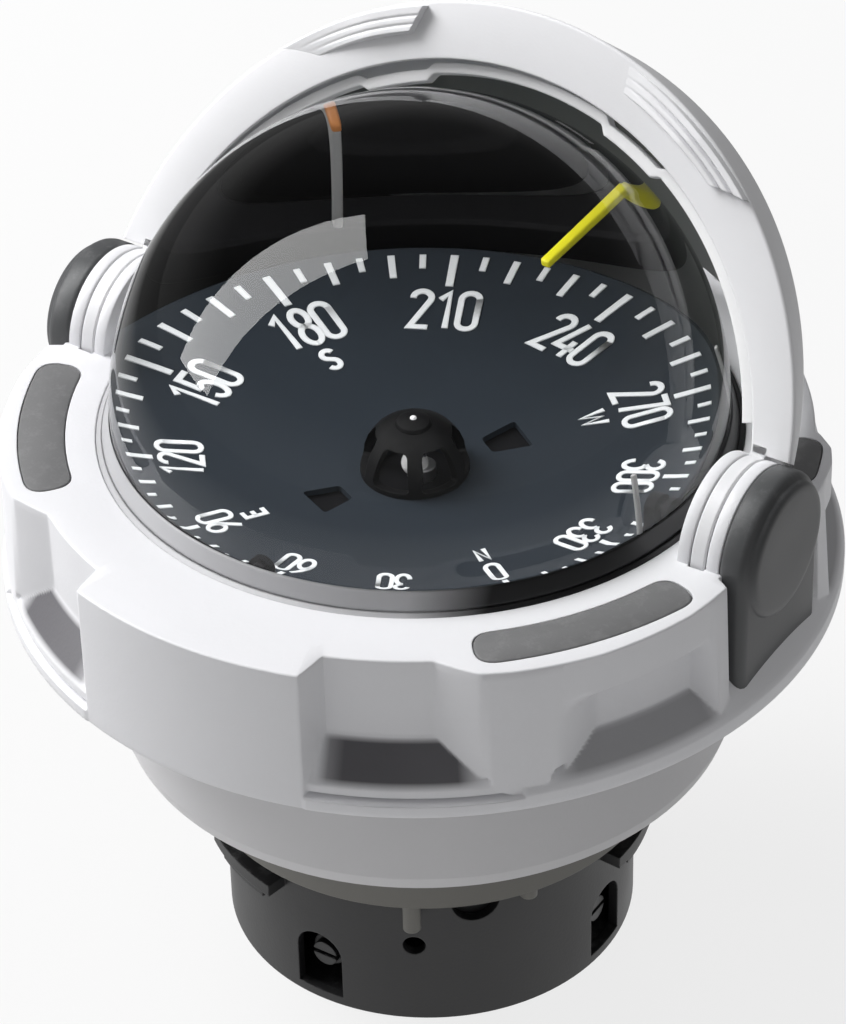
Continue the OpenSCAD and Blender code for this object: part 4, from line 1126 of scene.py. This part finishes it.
def makeCamera():
    # looks from far behind the dome's middle, along the ray that meets the middle of the picture
    v = view
    back, right, up = (Vector(v[k]) for k in ("back", "right", "up"))
    place = Vector((0, 0, layout["domeZ"] * 0.001)) + back * v["far"]
    ahead = (-back * v["focalPixels"] + right * v["offPixels"][0] + up * v["offPixels"][1]).normalized()
    side = ahead.cross(up).normalized()
    top = side.cross(ahead).normalized()
    data = bpy.data.cameras.new("photoCamera")
    data.sensor_fit, data.sensor_width = "AUTO", v["sensor"]
    data.lens = v["focalPixels"] * v["sensor"] / v["longSide"]
    data.clip_start, data.clip_end = 0.05, 20.0
    camera = placed("photoCamera", data)
    camera.matrix_world = Matrix.Translation(place) @ Matrix((side, top, -ahead)).transposed().to_4x4()
    bpy.context.scene.camera = camera


def makeLamps():
    # a soft key from above and to port, and a strip that only shows in glossy surfaces
    target = Vector(lamps["target"])
    for name in ("keyLamp", "stripLamp"):
        q = lamps[name]
        data = bpy.data.lights.new(name, "AREA")
        data.shape, data.energy = "RECTANGLE", q["power"]
        data.size, data.size_y = q["size"]
        lamp = placed(name, data)
        d, x = Vector(q["toward"]).normalized(), Vector(q["along"])
        x = (x - d * x.dot(d)).normalized()
        turn = Matrix((x, d.cross(x), d)).transposed().to_4x4()
        lamp.matrix_world = Matrix.Translation(target + d * q["far"]) @ turn
        for ray in q["unseen"]:
            setattr(lamp, "visible_" + ray, False)


def directRays(tree, path):
    # 1 for what the camera sees, straight or through the clear dome
    return mathNode(tree, "MAXIMUM", path["Is Camera Ray"], path["Is Transmission Ray"])


def makeWorld():
    # white behind the object, even ambient light, and a dark sky in mirror images that pales at the horizon
    q = studio
    world = bpy.data.worlds.new("studio")
    bpy.context.scene.world = world
    world.use_nodes = True
    tree = world.node_tree
    tree.nodes.clear()
    path = addNode(tree, "ShaderNodeLightPath").outputs
    glossy = path["Is Glossy Ray"]
    fade = ramped(tree, parts(tree, objectPlace(tree))["Z"], *q["mirrorZ"], *q["mirror"])
    mirrored = mathNode(tree, "MULTIPLY", glossy, fade)
    ambient = mathNode(tree, "MULTIPLY", mathNode(tree, "SUBTRACT", 1.0, glossy), q["ambient"])
    lit = mathNode(tree, "MAXIMUM", directRays(tree, path), mathNode(tree, "MAXIMUM", mirrored, ambient))
    sky = addNode(tree, "ShaderNodeBackground", {"Strength": lit}, Color=(1, 1, 1, 1))
    addNode(tree, "ShaderNodeOutputWorld", {"Surface": sky.outputs["Background"]})
    bpy.context.scene.view_settings.view_transform = "Standard"


def makeFloor():
    # a pale sweep that reads as white and still takes the shadow; its mirror image fades with distance
    q = studio
    tree = newMaterial("floorPale")
    tree.nodes.remove(tree.nodes["Principled BSDF"])
    path = addNode(tree, "ShaderNodeLightPath").outputs
    seen, glossy = directRays(tree, path), path["Is Glossy Ray"]
    away = addNode(tree, "ShaderNodeVectorMath", {0: objectPlace(tree)}, operation="LENGTH").outputs["Value"]
    mirrored = mathNode(tree, "MULTIPLY", glossy, ramped(tree, away, *q["nearRange"], *q["nearGlow"]))
    strength = mathNode(tree, "MAXIMUM", seen, mirrored)
    amount = mathNode(tree, "MULTIPLY", seen, ramped(tree, away, *q["farRange"], *q["whiteShare"]))
    amount = mathNode(tree, "MAXIMUM", amount, glossy)
    diffuse = addNode(tree, "ShaderNodeBsdfDiffuse", Color=(*q["floorColour"], 1)).outputs["BSDF"]
    glow = addNode(tree, "ShaderNodeEmission", {"Strength": strength}, Color=(1, 1, 1, 1)).outputs["Emission"]
    both = addNode(tree, "ShaderNodeMixShader", {0: amount, 1: diffuse, 2: glow})
    tree.links.new(both.outputs["Shader"], tree.nodes["Material Output"].inputs["Surface"])
    half, z = q["floorHalf"], q["floorZ"]
    corners = [(-half, -half, z), (half, -half, z), (half, half, z), (-half, half, z)]
    mesh = bpy.data.meshes.new("studioFloor")
    mesh.from_pydata(corners, [], [(0, 1, 2, 3)])
    mesh.materials.append(materials["floorPale"])
    placed("studioFloor", mesh)


makeCamera()
makeLamps()
makeWorld()
makeFloor()
print("camera, lamps, world and floor ready")
